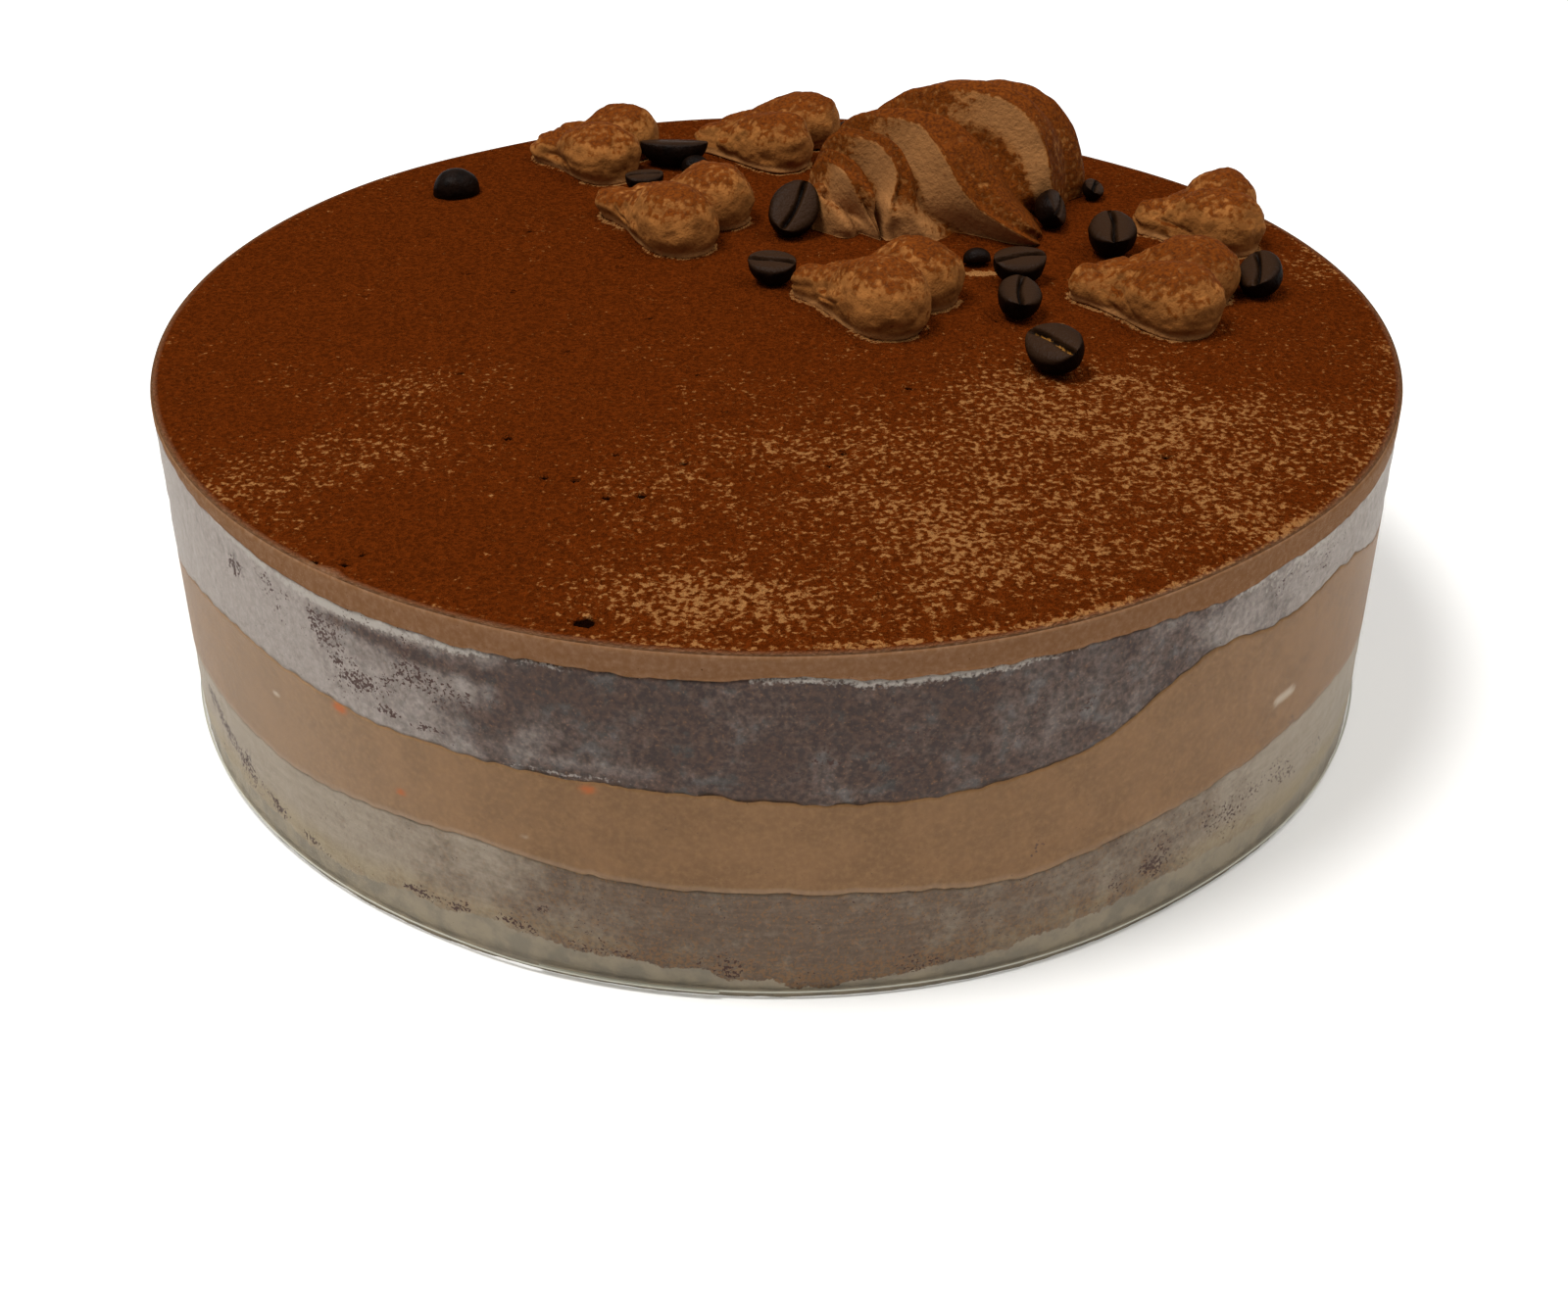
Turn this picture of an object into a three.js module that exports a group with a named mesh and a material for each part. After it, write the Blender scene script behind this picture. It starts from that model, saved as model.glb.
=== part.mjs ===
// Mocha mousse cake, uncut and wrapped in a clear film collar.
// Two sponges and two mousses lie in turn, and cocoa-dusted cream hearts, one large piped swirl
// and roasted beans sit on the top. Millimetres, +Z up, origin at the middle of the cake's foot,
// with the side that shows the swirl at the right and the bare top at the left towards -Y.

import * as THREE from 'three'

// ---------------------------------------------------------------- driving dimensions

const CAKE_RADIUS = 101.0
const CAKE_HEIGHT = 57.7
const RIM_ROUNDING = 0.6

// Heights of the joints between the layers, before their waves
const BASE_SPONGE_TOP = 18.8
const MIDDLE_MOUSSE_TOP = 35.6
const UPPER_SPONGE_TOP = 53.5

// The base sponge is set back a little where it stands on its foot
const FOOT_SETBACK = 1.2
const FOOT_HEIGHT = 4.5

// A strip of film wound once round the cake, its ends lapped near the front
const FILM_THICKNESS = 0.3
const FILM_GAP = 0.2
const FILM_BOTTOM = 1.2
const FILM_TOP = 57.0
const FILM_SEAM = -4.6
const FILM_LAP = 15

// The large piped swirl, from its small left end to its full right end
const SWIRL_LENGTH = 56.5
const SWIRL_HEIGHT = 22.8
const SWIRL_HALF_DEPTH = 20.5
const SWIRL_PLACE = [5.5, 42]
const SWIRL_TURN = 22.4

// A roasted bean: an oval dome with a flat, creased face
const BEAN_LENGTH = 9.8
const BEAN_WIDTH = 8.0
const BEAN_THICKNESS = 5.2
const CREASE_WIDTH = 0.9
const CREASE_DEPTH = 1.1
const TIP_BELOW_FACE = 0.4
const RESTING_GAP = 0.3

// How finely the round forms are faceted
const SIDE_FACETS = 72
const HEART_SPOKES = 30
const SWIRL_ARC = 30
const BEAN_STATIONS = 9

const DEGREE = Math.PI / 180

// ---------------------------------------------------------------- small helpers

const mix = (a, b, share) => a + (b - a) * share
const clamp = (value, low, high) => Math.min(high, Math.max(low, value))

function smoothstep(low, high, value) {
  const share = clamp((value - low) / (high - low), 0, 1)
  return share * share * (3 - 2 * share)
}

// A smooth curve through a few values that stand at rising places
function curveThrough(places, values, place) {
  const last = places.length - 1
  const slope = (i) => {
    const [before, after] = [Math.max(i - 1, 0), Math.min(i + 1, last)]
    return (values[after] - values[before]) / (places[after] - places[before])
  }
  const at = clamp(place, places[0], places[last])
  const from = Math.min(places.findLastIndex((each) => each <= at), last - 1)
  const span = places[from + 1] - places[from]
  const t = (at - places[from]) / span
  const [one, two] = [t * t, t * t * t]
  return (
    (2 * two - 3 * one + 1) * values[from] +
    (two - 2 * one + t) * span * slope(from) +
    (3 * one - 2 * two) * values[from + 1] +
    (two - one) * span * slope(from + 1)
  )
}

// Angles round the cake are in degrees, 0 at the front (-Y) and growing towards +X
function aroundFrom(angle, centre) {
  return ((angle - centre + 540) % 360) - 180
}

// One slow swelling: its middle, its rise and its spread round the cake
function swelling(angle, [middle, rise, spread]) {
  const away = aroundFrom(angle, middle) / spread
  return rise * Math.exp(-away * away)
}

// A height or a radius that swells and sinks round the cake
function wavy(level, swellings) {
  return (angle) => swellings.reduce((height, each) => height + swelling(angle, each), level)
}

// The outline of the cake: round, with three shallow dents where it was handled
const DENTS = [[38, -0.9, 14], [142, -1.6, 16], [-147, -1.2, 12]]
const sideRadius = wavy(CAKE_RADIUS, DENTS)

function onSide(angle, radius, height) {
  return [radius * Math.sin(angle * DEGREE), -radius * Math.cos(angle * DEGREE), height]
}

// Collects points and faces and gives the geometry with flat facets
class Facets {
  constructor() {
    this.points = []
    this.faces = []
  }

  point(x, y, z) {
    return this.points.push([x, y, z]) - 1
  }

  triangle(a, b, c) {
    this.faces.push(a, b, c)
  }

  quad(a, b, c, d) {
    this.triangle(a, b, c)
    this.triangle(a, c, d)
  }

  geometry() {
    const geometry = new THREE.BufferGeometry()
    geometry.setAttribute('position', new THREE.Float32BufferAttribute(this.points.flat(), 3))
    geometry.setIndex(this.faces)
    geometry.computeVertexNormals()
    return geometry
  }
}

// A closed round body from a middle point below, rings of points outwards and up, and a middle above.
// Four-sided faces are split from the outer ring forwards to the inner one, so that two bodies
// that share a joint split it alike.
function ringedBody(bottom, rings, top) {
  const body = new Facets()
  const low = body.point(...bottom)
  const indices = rings.map((ring) => ring.map((point) => body.point(...point)))
  const high = body.point(...top)
  const reach = rings.map((ring) => Math.hypot(ring[0][0], ring[0][1]))
  const last = indices[indices.length - 1]
  const count = rings[0].length
  for (let i = 0; i < count; i++) {
    const next = (i + 1) % count
    body.triangle(low, indices[0][next], indices[0][i])
    for (let k = 1; k < indices.length; k++) {
      const [lower, upper] = [indices[k - 1], indices[k]]
      if (reach[k] > reach[k - 1]) {
        body.quad(lower[next], upper[next], upper[i], lower[i])
      } else {
        body.quad(lower[i], lower[next], upper[next], upper[i])
      }
    }
    body.triangle(last[i], last[next], high)
  }
  return body.geometry()
}

function material(name, color, roughness) {
  return new THREE.MeshStandardMaterial({ name, color, roughness, metalness: 0 })
}

const SPONGE = material('cocoa sponge', 0x6b4a38, 0.95)
const MOUSSE = material('mocha mousse', 0x8a6643, 0.7)
const DUSTED = material('cocoa-dusted mousse', 0x5a2308, 0.95)
const CREAM = material('dusted coffee cream', 0x8f6a45, 0.75)
const FILM = material('clear film', 0xd8d4cc, 0.15)
const BEAN = material('roasted bean', 0x2c2320, 0.4)
FILM.transparent = true
FILM.opacity = 0.35

const cake = new THREE.Group()
cake.name = 'mocha_cake'

function addPiece(name, geometry, finish, parent = cake) {
  const piece = new THREE.Mesh(geometry, finish)
  piece.name = name
  parent.add(piece)
  return piece
}

// ---------------------------------------------------------------- the four layers

// Each joint is wavy at the side and settles to its level towards the middle of the cake
const baseSpongeTop = wavy(BASE_SPONGE_TOP, [
  [-74, -3.0, 9], [-26, 2.2, 11], [19, -2.0, 9], [54, 2.8, 14], [140, 1.6, 30], [-130, -1.4, 26],
])
const middleMousseTop = wavy(MIDDLE_MOUSSE_TOP, [
  [-76, -5.0, 9], [-52, 1.9, 13], [8, -2.0, 12], [37, 8.6, 9], [55, 9.0, 11],
  [72, 1.5, 9], [150, 3.4, 28], [-140, -2.4, 24],
])
const upperSpongeTop = wavy(UPPER_SPONGE_TOP, [
  [-66, 3.0, 9], [-50, 1.3, 7], [1, 0.8, 5], [39, -1.0, 5], [100, 0.9, 20], [-120, -1.0, 20],
])
const footTop = wavy(FOOT_HEIGHT, [[-24, 2.0, 12], [4, -1.8, 10], [38, 1.6, 14]])

const angles = Array.from({ length: SIDE_FACETS }, (_, i) => (i * 360) / SIDE_FACETS)
const ring = (radiusAt, heightAt) => angles.map((a) => onSide(a, radiusAt(a), heightAt(a)))

// The rings of a joint from the middle outwards: an inner one where the wave has mostly died away
const SETTLED = 0.72
const WAVE_LEFT_INSIDE = 0.25
function jointRings(heightAt, level) {
  const inner = ring(
    (a) => sideRadius(a) * SETTLED,
    (a) => mix(level, heightAt(a), WAVE_LEFT_INSIDE),
  )
  return [inner, ring(sideRadius, heightAt)]
}

function layer(lower, lowerLevel, upper, upperLevel) {
  const below = jointRings(lower, lowerLevel)
  const above = jointRings(upper, upperLevel).reverse()
  return ringedBody([0, 0, lowerLevel], [...below, ...above], [0, 0, upperLevel])
}

function baseSponge() {
  const setBack = (a) => sideRadius(a) - FOOT_SETBACK
  const foot = ring(setBack, () => 0)
  const heel = ring((a) => sideRadius(a) - FOOT_SETBACK * 0.7, (a) => footTop(a) * 0.7)
  const edge = ring(sideRadius, footTop)
  const above = jointRings(baseSpongeTop, BASE_SPONGE_TOP).reverse()
  return ringedBody([0, 0, 0], [foot, heel, edge, ...above], [0, 0, BASE_SPONGE_TOP])
}

function topMousse() {
  const below = jointRings(upperSpongeTop, UPPER_SPONGE_TOP)
  const shoulder = ring(sideRadius, () => CAKE_HEIGHT - RIM_ROUNDING)
  const rim = ring((a) => sideRadius(a) - RIM_ROUNDING, () => CAKE_HEIGHT)
  return ringedBody([0, 0, UPPER_SPONGE_TOP], [...below, shoulder, rim], [0, 0, CAKE_HEIGHT])
}

addPiece('base_sponge', baseSponge(), SPONGE)
addPiece(
  'middle_mousse',
  layer(baseSpongeTop, BASE_SPONGE_TOP, middleMousseTop, MIDDLE_MOUSSE_TOP),
  MOUSSE,
)
addPiece(
  'upper_sponge',
  layer(middleMousseTop, MIDDLE_MOUSSE_TOP, upperSpongeTop, UPPER_SPONGE_TOP),
  SPONGE,
)
addPiece('top_mousse', topMousse(), DUSTED)

// ---------------------------------------------------------------- the film collar

// The strip starts at the seam, goes once round and rises over its own start for the lap
function filmCollar() {
  const strip = new Facets()
  const step = 360 / SIDE_FACETS
  const sections = []
  for (let turn = 0; turn <= 360 + FILM_LAP + 0.01; turn += step) {
    const angle = FILM_SEAM - FILM_LAP + turn
    const lift = (FILM_THICKNESS + FILM_GAP) * smoothstep(360 - 2 * step, 360, turn)
    const inner = sideRadius(angle) + FILM_GAP + lift
    const outer = inner + FILM_THICKNESS
    const corners = [[inner, FILM_BOTTOM], [outer, FILM_BOTTOM], [outer, FILM_TOP], [inner, FILM_TOP]]
    sections.push(corners.map(([radius, height]) => strip.point(...onSide(angle, radius, height))))
  }
  for (let i = 1; i < sections.length; i++) {
    for (let k = 0; k < 4; k++) {
      const next = (k + 1) % 4
      strip.quad(sections[i - 1][k], sections[i][k], sections[i][next], sections[i - 1][next])
    }
  }
  const first = sections[0]
  const last = sections[sections.length - 1]
  strip.quad(first[0], first[1], first[2], first[3])
  strip.quad(last[3], last[2], last[1], last[0])
  return strip.geometry()
}

addPiece('film_collar', filmCollar(), FILM)

// ---------------------------------------------------------------- cream hearts

// A lobe is one squeeze of cream: a row of balls, slender for a share of its way, to a full end
const BALLS_IN_LOBE = 7
const SIT = 0.6
function lobeBalls([startX, startY], [bendX, bendY], [endX, endY], thin, full, slender) {
  const balls = []
  for (let i = 0; i < BALLS_IN_LOBE; i++) {
    const t = i / (BALLS_IN_LOBE - 1)
    const [a, b, c] = [(1 - t) * (1 - t), 2 * t * (1 - t), t * t]
    const radius = mix(thin, full, smoothstep(slender, 0.95, t))
    const middle = [a * startX + b * bendX + c * endX, a * startY + b * bendY + c * endY]
    balls.push({ x: middle[0], y: middle[1], z: radius * SIT, radius })
  }
  return balls
}

// Distance to the cream, the balls running softly together
const BLEND = 0.5
function creamDistance(balls, x, y, z) {
  let sum = 0
  for (const ball of balls) {
    const away = Math.hypot(x - ball.x, y - ball.y, z - ball.z) - ball.radius
    sum += Math.exp(-away / BLEND)
  }
  return -BLEND * Math.log(sum)
}

// How far the cream reaches from the foot's middle in one direction
const REACH = 30
function creamReach(balls, [dx, dy, dz]) {
  let distance = REACH
  for (let step = 0; step < 60; step++) {
    const away = creamDistance(balls, dx * distance, dy * distance, dz * distance)
    if (away < 0.005) break
    distance -= away * 0.9
  }
  return Math.max(distance, 0.5)
}

// A flat-footed dome of cream, made of spokes from the middle of its foot
const DOME_RISES = [0, 8, 16, 25, 35, 46, 57, 68, 79]
function creamDome(balls) {
  const rings = DOME_RISES.map((rise) => {
    const points = []
    for (let i = 0; i < HEART_SPOKES; i++) {
      const round = (i * 2 * Math.PI) / HEART_SPOKES
      const level = Math.cos(rise * DEGREE)
      const way = [level * Math.cos(round), level * Math.sin(round), Math.sin(rise * DEGREE)]
      const reach = creamReach(balls, way)
      points.push(way.map((part) => part * reach))
    }
    return points
  })
  const crown = creamReach(balls, [0, 0, 1])
  return ringedBody([0, 0, 0], rings, [0, 0, crown])
}

// A heart is two lobes whose thin starts meet; its length runs from them to the round ends
function heart({ length, width, full, ends = 0, thin = 3.4 }) {
  const back = -length / 2
  const reach = length / 2
  const apart = width / 2
  const front = lobeBalls(
    [back + thin, 0],
    [0, -apart * 0.2],
    [reach - full, full - apart],
    thin,
    full,
    0.05,
  )
  const rearFull = full * 0.97
  const rear = lobeBalls(
    [back + thin * 2, apart * 0.25],
    [0, apart * 0.6],
    [reach - rearFull + ends, apart - rearFull],
    thin,
    rearFull,
    0.3,
  )
  return creamDome([...front, ...rear])
}

// Place of each heart's middle, the way its round ends point, and its own size
const HEARTS = [
  { x: -36.5, y: 74.5, turn: -12, length: 23, width: 25, full: 6.2, ends: 0.5 },
  { x: -4.0, y: 81.0, turn: -8, length: 24, width: 25, full: 6.2, ends: 4 },
  { x: -20.0, y: 41.5, turn: -30, length: 28, width: 27, full: 6.8, ends: -1 },
  { x: 15.0, y: 6.5, turn: -25, length: 27, width: 26, full: 6.8, ends: 1 },
  { x: 62.5, y: 6.5, turn: -20, length: 27, width: 26, full: 6.6, ends: 0 },
  { x: 76.0, y: 38.5, turn: -8, length: 23, width: 23, full: 6.2, ends: -0.5 },
]
HEARTS.forEach(({ x, y, turn, ...size }, i) => {
  const piece = addPiece(`cream_heart_${i + 1}`, heart(size), CREAM)
  piece.position.set(x, y, CAKE_HEIGHT)
  piece.rotation.z = turn * DEGREE
})

// ---------------------------------------------------------------- the large swirl

// The body along the piping: its half depth and its height, as shares of the full ones
const BODY_PLACES = [0, 0.06, 0.14, 0.3, 0.5, 0.68, 0.82, 0.92, 0.975, 1]
const BODY_DEPTHS = [0.12, 0.38, 0.52, 0.8, 0.95, 0.86, 0.53, 0.36, 0.22, 0.08]
const BODY_HEIGHTS = [0.14, 0.44, 0.63, 0.86, 0.98, 0.99, 0.85, 0.63, 0.37, 0.08]

// The folds of the piping. Each edge lies at these places along it, from the front foot over the
// crown to the foot behind; before the edge there is a valley, as a share of the way from the
// last edge, and a depth, as a share of the body's size there.
const EDGE_RISES = [0, 18, 42, 66, 90, 150, 180]
const FOLDS = [
  { edge: [0, 0, 0, 0, 0, 0, 0], valley: 0.6, depth: 0 },
  { edge: [0.165, 0.135, 0.1, 0.085, 0.07, 0.04, 0.03], valley: 0.76, depth: 0.34 },
  { edge: [0.18, 0.187, 0.228, 0.205, 0.14, 0.08, 0.06], valley: 0.68, depth: 0.42 },
  { edge: [0.62, 0.44, 0.372, 0.335, 0.24, 0.13, 0.1], valley: 0.52, depth: 0.34 },
  { edge: [0.78, 0.76, 0.735, 0.65, 0.5, 0.26, 0.2], valley: 0.62, depth: 0.38 },
  { edge: [0.95, 0.95, 0.945, 0.93, 0.84, 0.56, 0.42], valley: 0.6, depth: 0.14 },
  { edge: [1, 1, 1, 1, 1, 1, 1], valley: 0.6, depth: 0.05 },
]

// Behind its edge a fold steps down from a thin lip, bulges, falls to the valley and then
// climbs the bare face of the next fold
const LIP_SHARE = 0.07
const LIP_STEP = 0.22
const BULGE_SHARE = 0.35
function foldCut(share, valley) {
  if (share >= valley) return 1 - ((share - valley) / (1 - valley)) ** 1.4
  const bulge = 1 - 0.75 * smoothstep(LIP_SHARE, BULGE_SHARE, share)
  const lip = LIP_STEP * smoothstep(0.01, LIP_SHARE, share) * bulge
  const fall = clamp((share - 0.15) / (valley - 0.15), 0, 1) ** 2
  return Math.max(lip, fall)
}

// Two places where the body stands out: the pointed tail that the third fold draws out over the
// front foot, and a hump behind the place where the piping starts
const TAIL = { at: 0.56, spread: 0.12, from: 0, width: 24, reach: 0.38 }
const HUMP = { at: 0.1, spread: 0.14, from: 110, width: 40, reach: 0.2 }
function outward({ at, spread, from, width, reach }, along, rise) {
  const away = ((along - at) / spread) ** 2 + ((rise - from) / width) ** 2
  return 1 + reach * Math.exp(-away)
}

// One line of the surface, from the front foot over the crown to the foot behind
function swirlLine(fold, before, share) {
  const cut = fold.depth * foldCut(share, fold.valley)
  const line = []
  for (let k = 0; k <= SWIRL_ARC; k++) {
    const rise = (k * 180) / SWIRL_ARC
    const start = curveThrough(EDGE_RISES, before.edge, rise)
    const end = curveThrough(EDGE_RISES, fold.edge, rise)
    const along = mix(start, end, share)
    const depth = SWIRL_HALF_DEPTH * curveThrough(BODY_PLACES, BODY_DEPTHS, along)
    const height = SWIRL_HEIGHT * curveThrough(BODY_PLACES, BODY_HEIGHTS, along)
    const hump = outward(HUMP, along, rise)
    const across = -depth * Math.cos(rise * DEGREE) * outward(TAIL, along, rise) * hump
    const grounded = k === 0 || k === SWIRL_ARC
    const up = grounded ? 0 : height * Math.sin(rise * DEGREE) * hump
    line.push([along * SWIRL_LENGTH, across * (1 - cut), up * (1 - cut)])
  }
  return line
}

function creamSwirl() {
  const swirl = new Facets()
  const lines = []
  for (let i = 1; i < FOLDS.length; i++) {
    const valley = FOLDS[i].valley
    const halfFall = (BULGE_SHARE + valley) / 2
    const halfFace = (1 + valley) / 2
    for (const share of [0, LIP_SHARE, BULGE_SHARE, halfFall, valley, halfFace]) {
      lines.push(swirlLine(FOLDS[i], FOLDS[i - 1], share))
    }
  }
  lines.push(swirlLine(FOLDS[FOLDS.length - 1], FOLDS[FOLDS.length - 2], 1))
  const rows = lines.map((line) => line.map((point) => swirl.point(...point)))
  for (let i = 1; i < rows.length; i++) {
    const [left, right] = [rows[i - 1], rows[i]]
    for (let k = 0; k < SWIRL_ARC; k++) {
      swirl.quad(left[k], right[k], right[k + 1], left[k + 1])
    }
    swirl.quad(left[SWIRL_ARC], right[SWIRL_ARC], right[0], left[0])
  }
  const [first, last] = [rows[0], rows[rows.length - 1]]
  for (let k = 1; k < SWIRL_ARC; k++) {
    swirl.triangle(first[0], first[k], first[k + 1])
    swirl.triangle(last[0], last[k + 1], last[k])
  }
  return swirl.geometry()
}

const swirl = addPiece('cream_swirl', creamSwirl(), CREAM)
swirl.position.set(...SWIRL_PLACE, CAKE_HEIGHT)
swirl.rotation.z = SWIRL_TURN * DEGREE

// ---------------------------------------------------------------- roasted beans

// Cross-sections along the bean: a round belly below, a flat face above with the crease in it
const BELLY_POINTS = 6
function coffeeBean(size, stretch) {
  const bean = new Facets()
  const sections = []
  for (let i = 1; i < BEAN_STATIONS + 1; i++) {
    const along = -Math.cos((i * Math.PI) / (BEAN_STATIONS + 1))
    const breadth = Math.sqrt(1 - along * along)
    const half = (BEAN_WIDTH / 2) * size * breadth
    const belly = BEAN_THICKNESS * size * breadth ** 0.7
    const lip = Math.min(CREASE_WIDTH / 2, half * 0.4)
    const x = (BEAN_LENGTH / 2) * size * stretch * along
    const section = []
    for (let k = 0; k <= BELLY_POINTS + 1; k++) {
      const round = (k * Math.PI) / (BELLY_POINTS + 1)
      section.push(bean.point(x, -half * Math.cos(round), -belly * Math.sin(round) ** 0.8))
    }
    section.push(bean.point(x, lip, 0))
    section.push(bean.point(x, 0, -CREASE_DEPTH * size * breadth))
    section.push(bean.point(x, -lip, 0))
    sections.push(section)
  }
  const count = sections[0].length
  const tip = (BEAN_LENGTH / 2) * size * stretch
  const start = bean.point(-tip, 0, -TIP_BELOW_FACE)
  const end = bean.point(tip, 0, -TIP_BELOW_FACE)
  for (let k = 0; k < count; k++) {
    const next = (k + 1) % count
    for (let i = 1; i < sections.length; i++) {
      bean.quad(sections[i - 1][k], sections[i - 1][next], sections[i][next], sections[i][k])
    }
    bean.triangle(start, sections[0][next], sections[0][k])
    bean.triangle(end, sections[sections.length - 1][k], sections[sections.length - 1][next])
  }
  return bean.geometry()
}

// Place, the way the crease runs, how far the bean leans towards the front, its size, and where
// it isn't 0 its nod, which lifts one end. A lean of 180 lays it on its flat face.
const BEANS = [
  { x: -60.4, y: 57.2, turn: 20, lean: 180, size: 0.9 },
  { x: -20.0, y: 73.0, turn: -2, lean: -14, size: 0.92, stretch: 1.42 },
  { x: -25.0, y: 58.0, turn: 15, lean: 0, size: 0.74 },
  { x: -15.7, y: 67.6, turn: 12, lean: 150, size: 0.56 },
  { x: 3.2, y: 37.2, turn: 60, lean: 25, size: 1.1, nod: 35 },
  { x: -0.8, y: 15.2, turn: -20, lean: 12, size: 0.86 },
  { x: 41.6, y: 15.8, turn: 15, lean: 12, size: 0.96 },
  { x: 40.4, y: 2.2, turn: 85, lean: 6, size: 0.93, nod: 8 },
  { x: 43.3, y: -19.1, turn: -50, lean: 28, size: 1.04 },
  { x: 59.1, y: 28.3, turn: 92, lean: -4, size: 1.07, stretch: 0.92, nod: 12 },
  { x: 81.3, y: 11.1, turn: 82, lean: -24, size: 0.95, nod: 15 },
  { x: 51.2, y: 41.3, turn: 77, lean: 60, size: 0.86 },
  { x: 59.6, y: 55.2, turn: 70, lean: 30, size: 0.52 },
  { x: 14.6, y: 88.0, turn: 30, lean: 20, size: 0.5 },
  { x: 35.0, y: 23.2, turn: 5, lean: 150, size: 0.5 },
]
BEANS.forEach(({ x, y, turn, lean, size, stretch = 1, nod = 0 }, i) => {
  const place = new THREE.Group()
  place.rotation.z = turn * DEGREE
  const piece = addPiece(`coffee_bean_${i + 1}`, coffeeBean(size, stretch), BEAN, place)
  piece.rotation.set(lean * DEGREE, -nod * DEGREE, 0, 'YXZ')
  piece.geometry.computeBoundingBox()
  cake.add(place)
  place.updateMatrixWorld(true)
  const lowest = new THREE.Box3().setFromObject(piece, true).min.z
  place.position.set(x, y, CAKE_HEIGHT + RESTING_GAP - lowest)
})

export default cake
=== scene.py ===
# %% [markdown]
# # A mocha mousse cake in its clear collar
# The real thing is two cocoa sponges and two coffee mousses built up inside a steel ring. A strip of
# clear film lines the ring and stays round the cake when the ring comes off. Cocoa is sieved over
# the top, and piped coffee cream and roasted beans are set on it.
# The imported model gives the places. Each of its plain solids is replaced here by a finer mesh of the
# same form, so that the relief and the colours have somewhere to sit.

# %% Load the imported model
import math

import bpy
import numpy as np
from mathutils import Matrix, Vector


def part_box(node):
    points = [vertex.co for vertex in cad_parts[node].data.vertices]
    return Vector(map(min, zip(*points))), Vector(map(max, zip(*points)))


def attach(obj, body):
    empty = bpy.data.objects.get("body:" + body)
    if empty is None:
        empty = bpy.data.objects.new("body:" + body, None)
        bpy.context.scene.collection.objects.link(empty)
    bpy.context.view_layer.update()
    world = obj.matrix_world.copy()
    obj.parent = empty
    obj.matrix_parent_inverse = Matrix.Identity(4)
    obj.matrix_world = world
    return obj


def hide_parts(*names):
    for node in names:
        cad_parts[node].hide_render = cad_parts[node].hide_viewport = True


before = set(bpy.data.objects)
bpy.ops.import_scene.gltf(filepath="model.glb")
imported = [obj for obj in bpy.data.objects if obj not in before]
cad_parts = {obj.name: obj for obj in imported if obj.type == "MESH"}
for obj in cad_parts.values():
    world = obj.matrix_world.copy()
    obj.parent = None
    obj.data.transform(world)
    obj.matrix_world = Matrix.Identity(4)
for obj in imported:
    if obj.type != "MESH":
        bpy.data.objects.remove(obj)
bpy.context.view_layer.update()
print("pieces in the model:", len(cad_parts))

# %% [markdown]
# ## Measures
# Everything is in millimetres and is turned to metres once, when a mesh is made. Angles round the
# cake are in degrees, 0 at the front and growing to the right.

# %% Measures of the cake
MM = 0.001
CAKE_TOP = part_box("top_mousse")[1].z / MM
CAKE_RADIUS = 101.0
DENTS = [(38, -0.9, 14), (142, -1.6, 16), (-147, -1.2, 12)]
COLUMNS = 1120
print(f"cake top at {CAKE_TOP:.1f} mm")


# %% Small helpers for numbers
def mix(low, high, share):
    return low + (high - low) * share


def ramp(low, high, value):
    """0 up to low, 1 from high on, and a smooth rise between."""
    share = np.clip((value - low) / (high - low), 0, 1)
    return share * share * (3 - 2 * share)


def bump_at(value, middle, spread):
    """1 at the middle, falling away smoothly on both sides."""
    return np.exp(-(((value - middle) / spread) ** 2))


def around_from(angle, centre):
    return (angle - centre + 540) % 360 - 180


def wavy(level, swellings):
    """A height or a radius that swells and sinks round the cake."""

    def at(angle):
        total = np.full(np.shape(angle), float(level))
        for middle, rise, spread in swellings:
            total += rise * bump_at(around_from(angle, middle), 0, spread)
        return total

    return at


side_radius = wavy(CAKE_RADIUS, DENTS)

# %% [markdown]
# ## A soft random pattern
# Food is never quite regular. This helper gives every point a smooth random value from -1 to 1: it
# reads a block of random numbers that repeats, and glides from one to the next. The seed makes it
# the same each time.

# %% Smooth noise
LATTICE = 64


def noise(points, size, seed, octaves=1):
    """Smooth noise at points in millimetres; size is the width of its patches in millimetres."""
    values = np.random.default_rng(seed).uniform(-1, 1, (LATTICE, LATTICE, LATTICE))
    total, weight = 0, 0
    for octave in range(octaves):
        place = np.asarray(points) * 2**octave / size + 17.3 * octave
        cell = np.floor(place).astype(int)
        t = place - cell
        t = t * t * (3 - 2 * t)
        found = 0
        for corner in np.ndindex(2, 2, 2):
            index = (cell + corner) % LATTICE
            share = np.prod(np.where(corner, t, 1 - t), axis=-1)
            found = found + share * values[index[..., 0], index[..., 1], index[..., 2]]
        total = total + found / 2**octave
        weight += 1 / 2**octave
    return total / weight * 1.6


# %% [markdown]
# ## Making a mesh
# A piece is made straight from lists of points and faces. Numbers that a material needs at each
# point, such as how thick the cocoa lies, go into the mesh as attributes.

# %% Mesh helpers
def grid_faces(rows, columns, closed):
    """Four-sided faces between rows of points; closed joins the last column to the first."""
    across = columns if closed else columns - 1
    row, column = np.meshgrid(np.arange(rows - 1), np.arange(across), indexing="ij")
    nxt = (column + 1) % columns
    low, high = row * columns, (row + 1) * columns
    return np.stack([low + column, low + nxt, high + nxt, high + column], -1).reshape(-1, 4)


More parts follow.
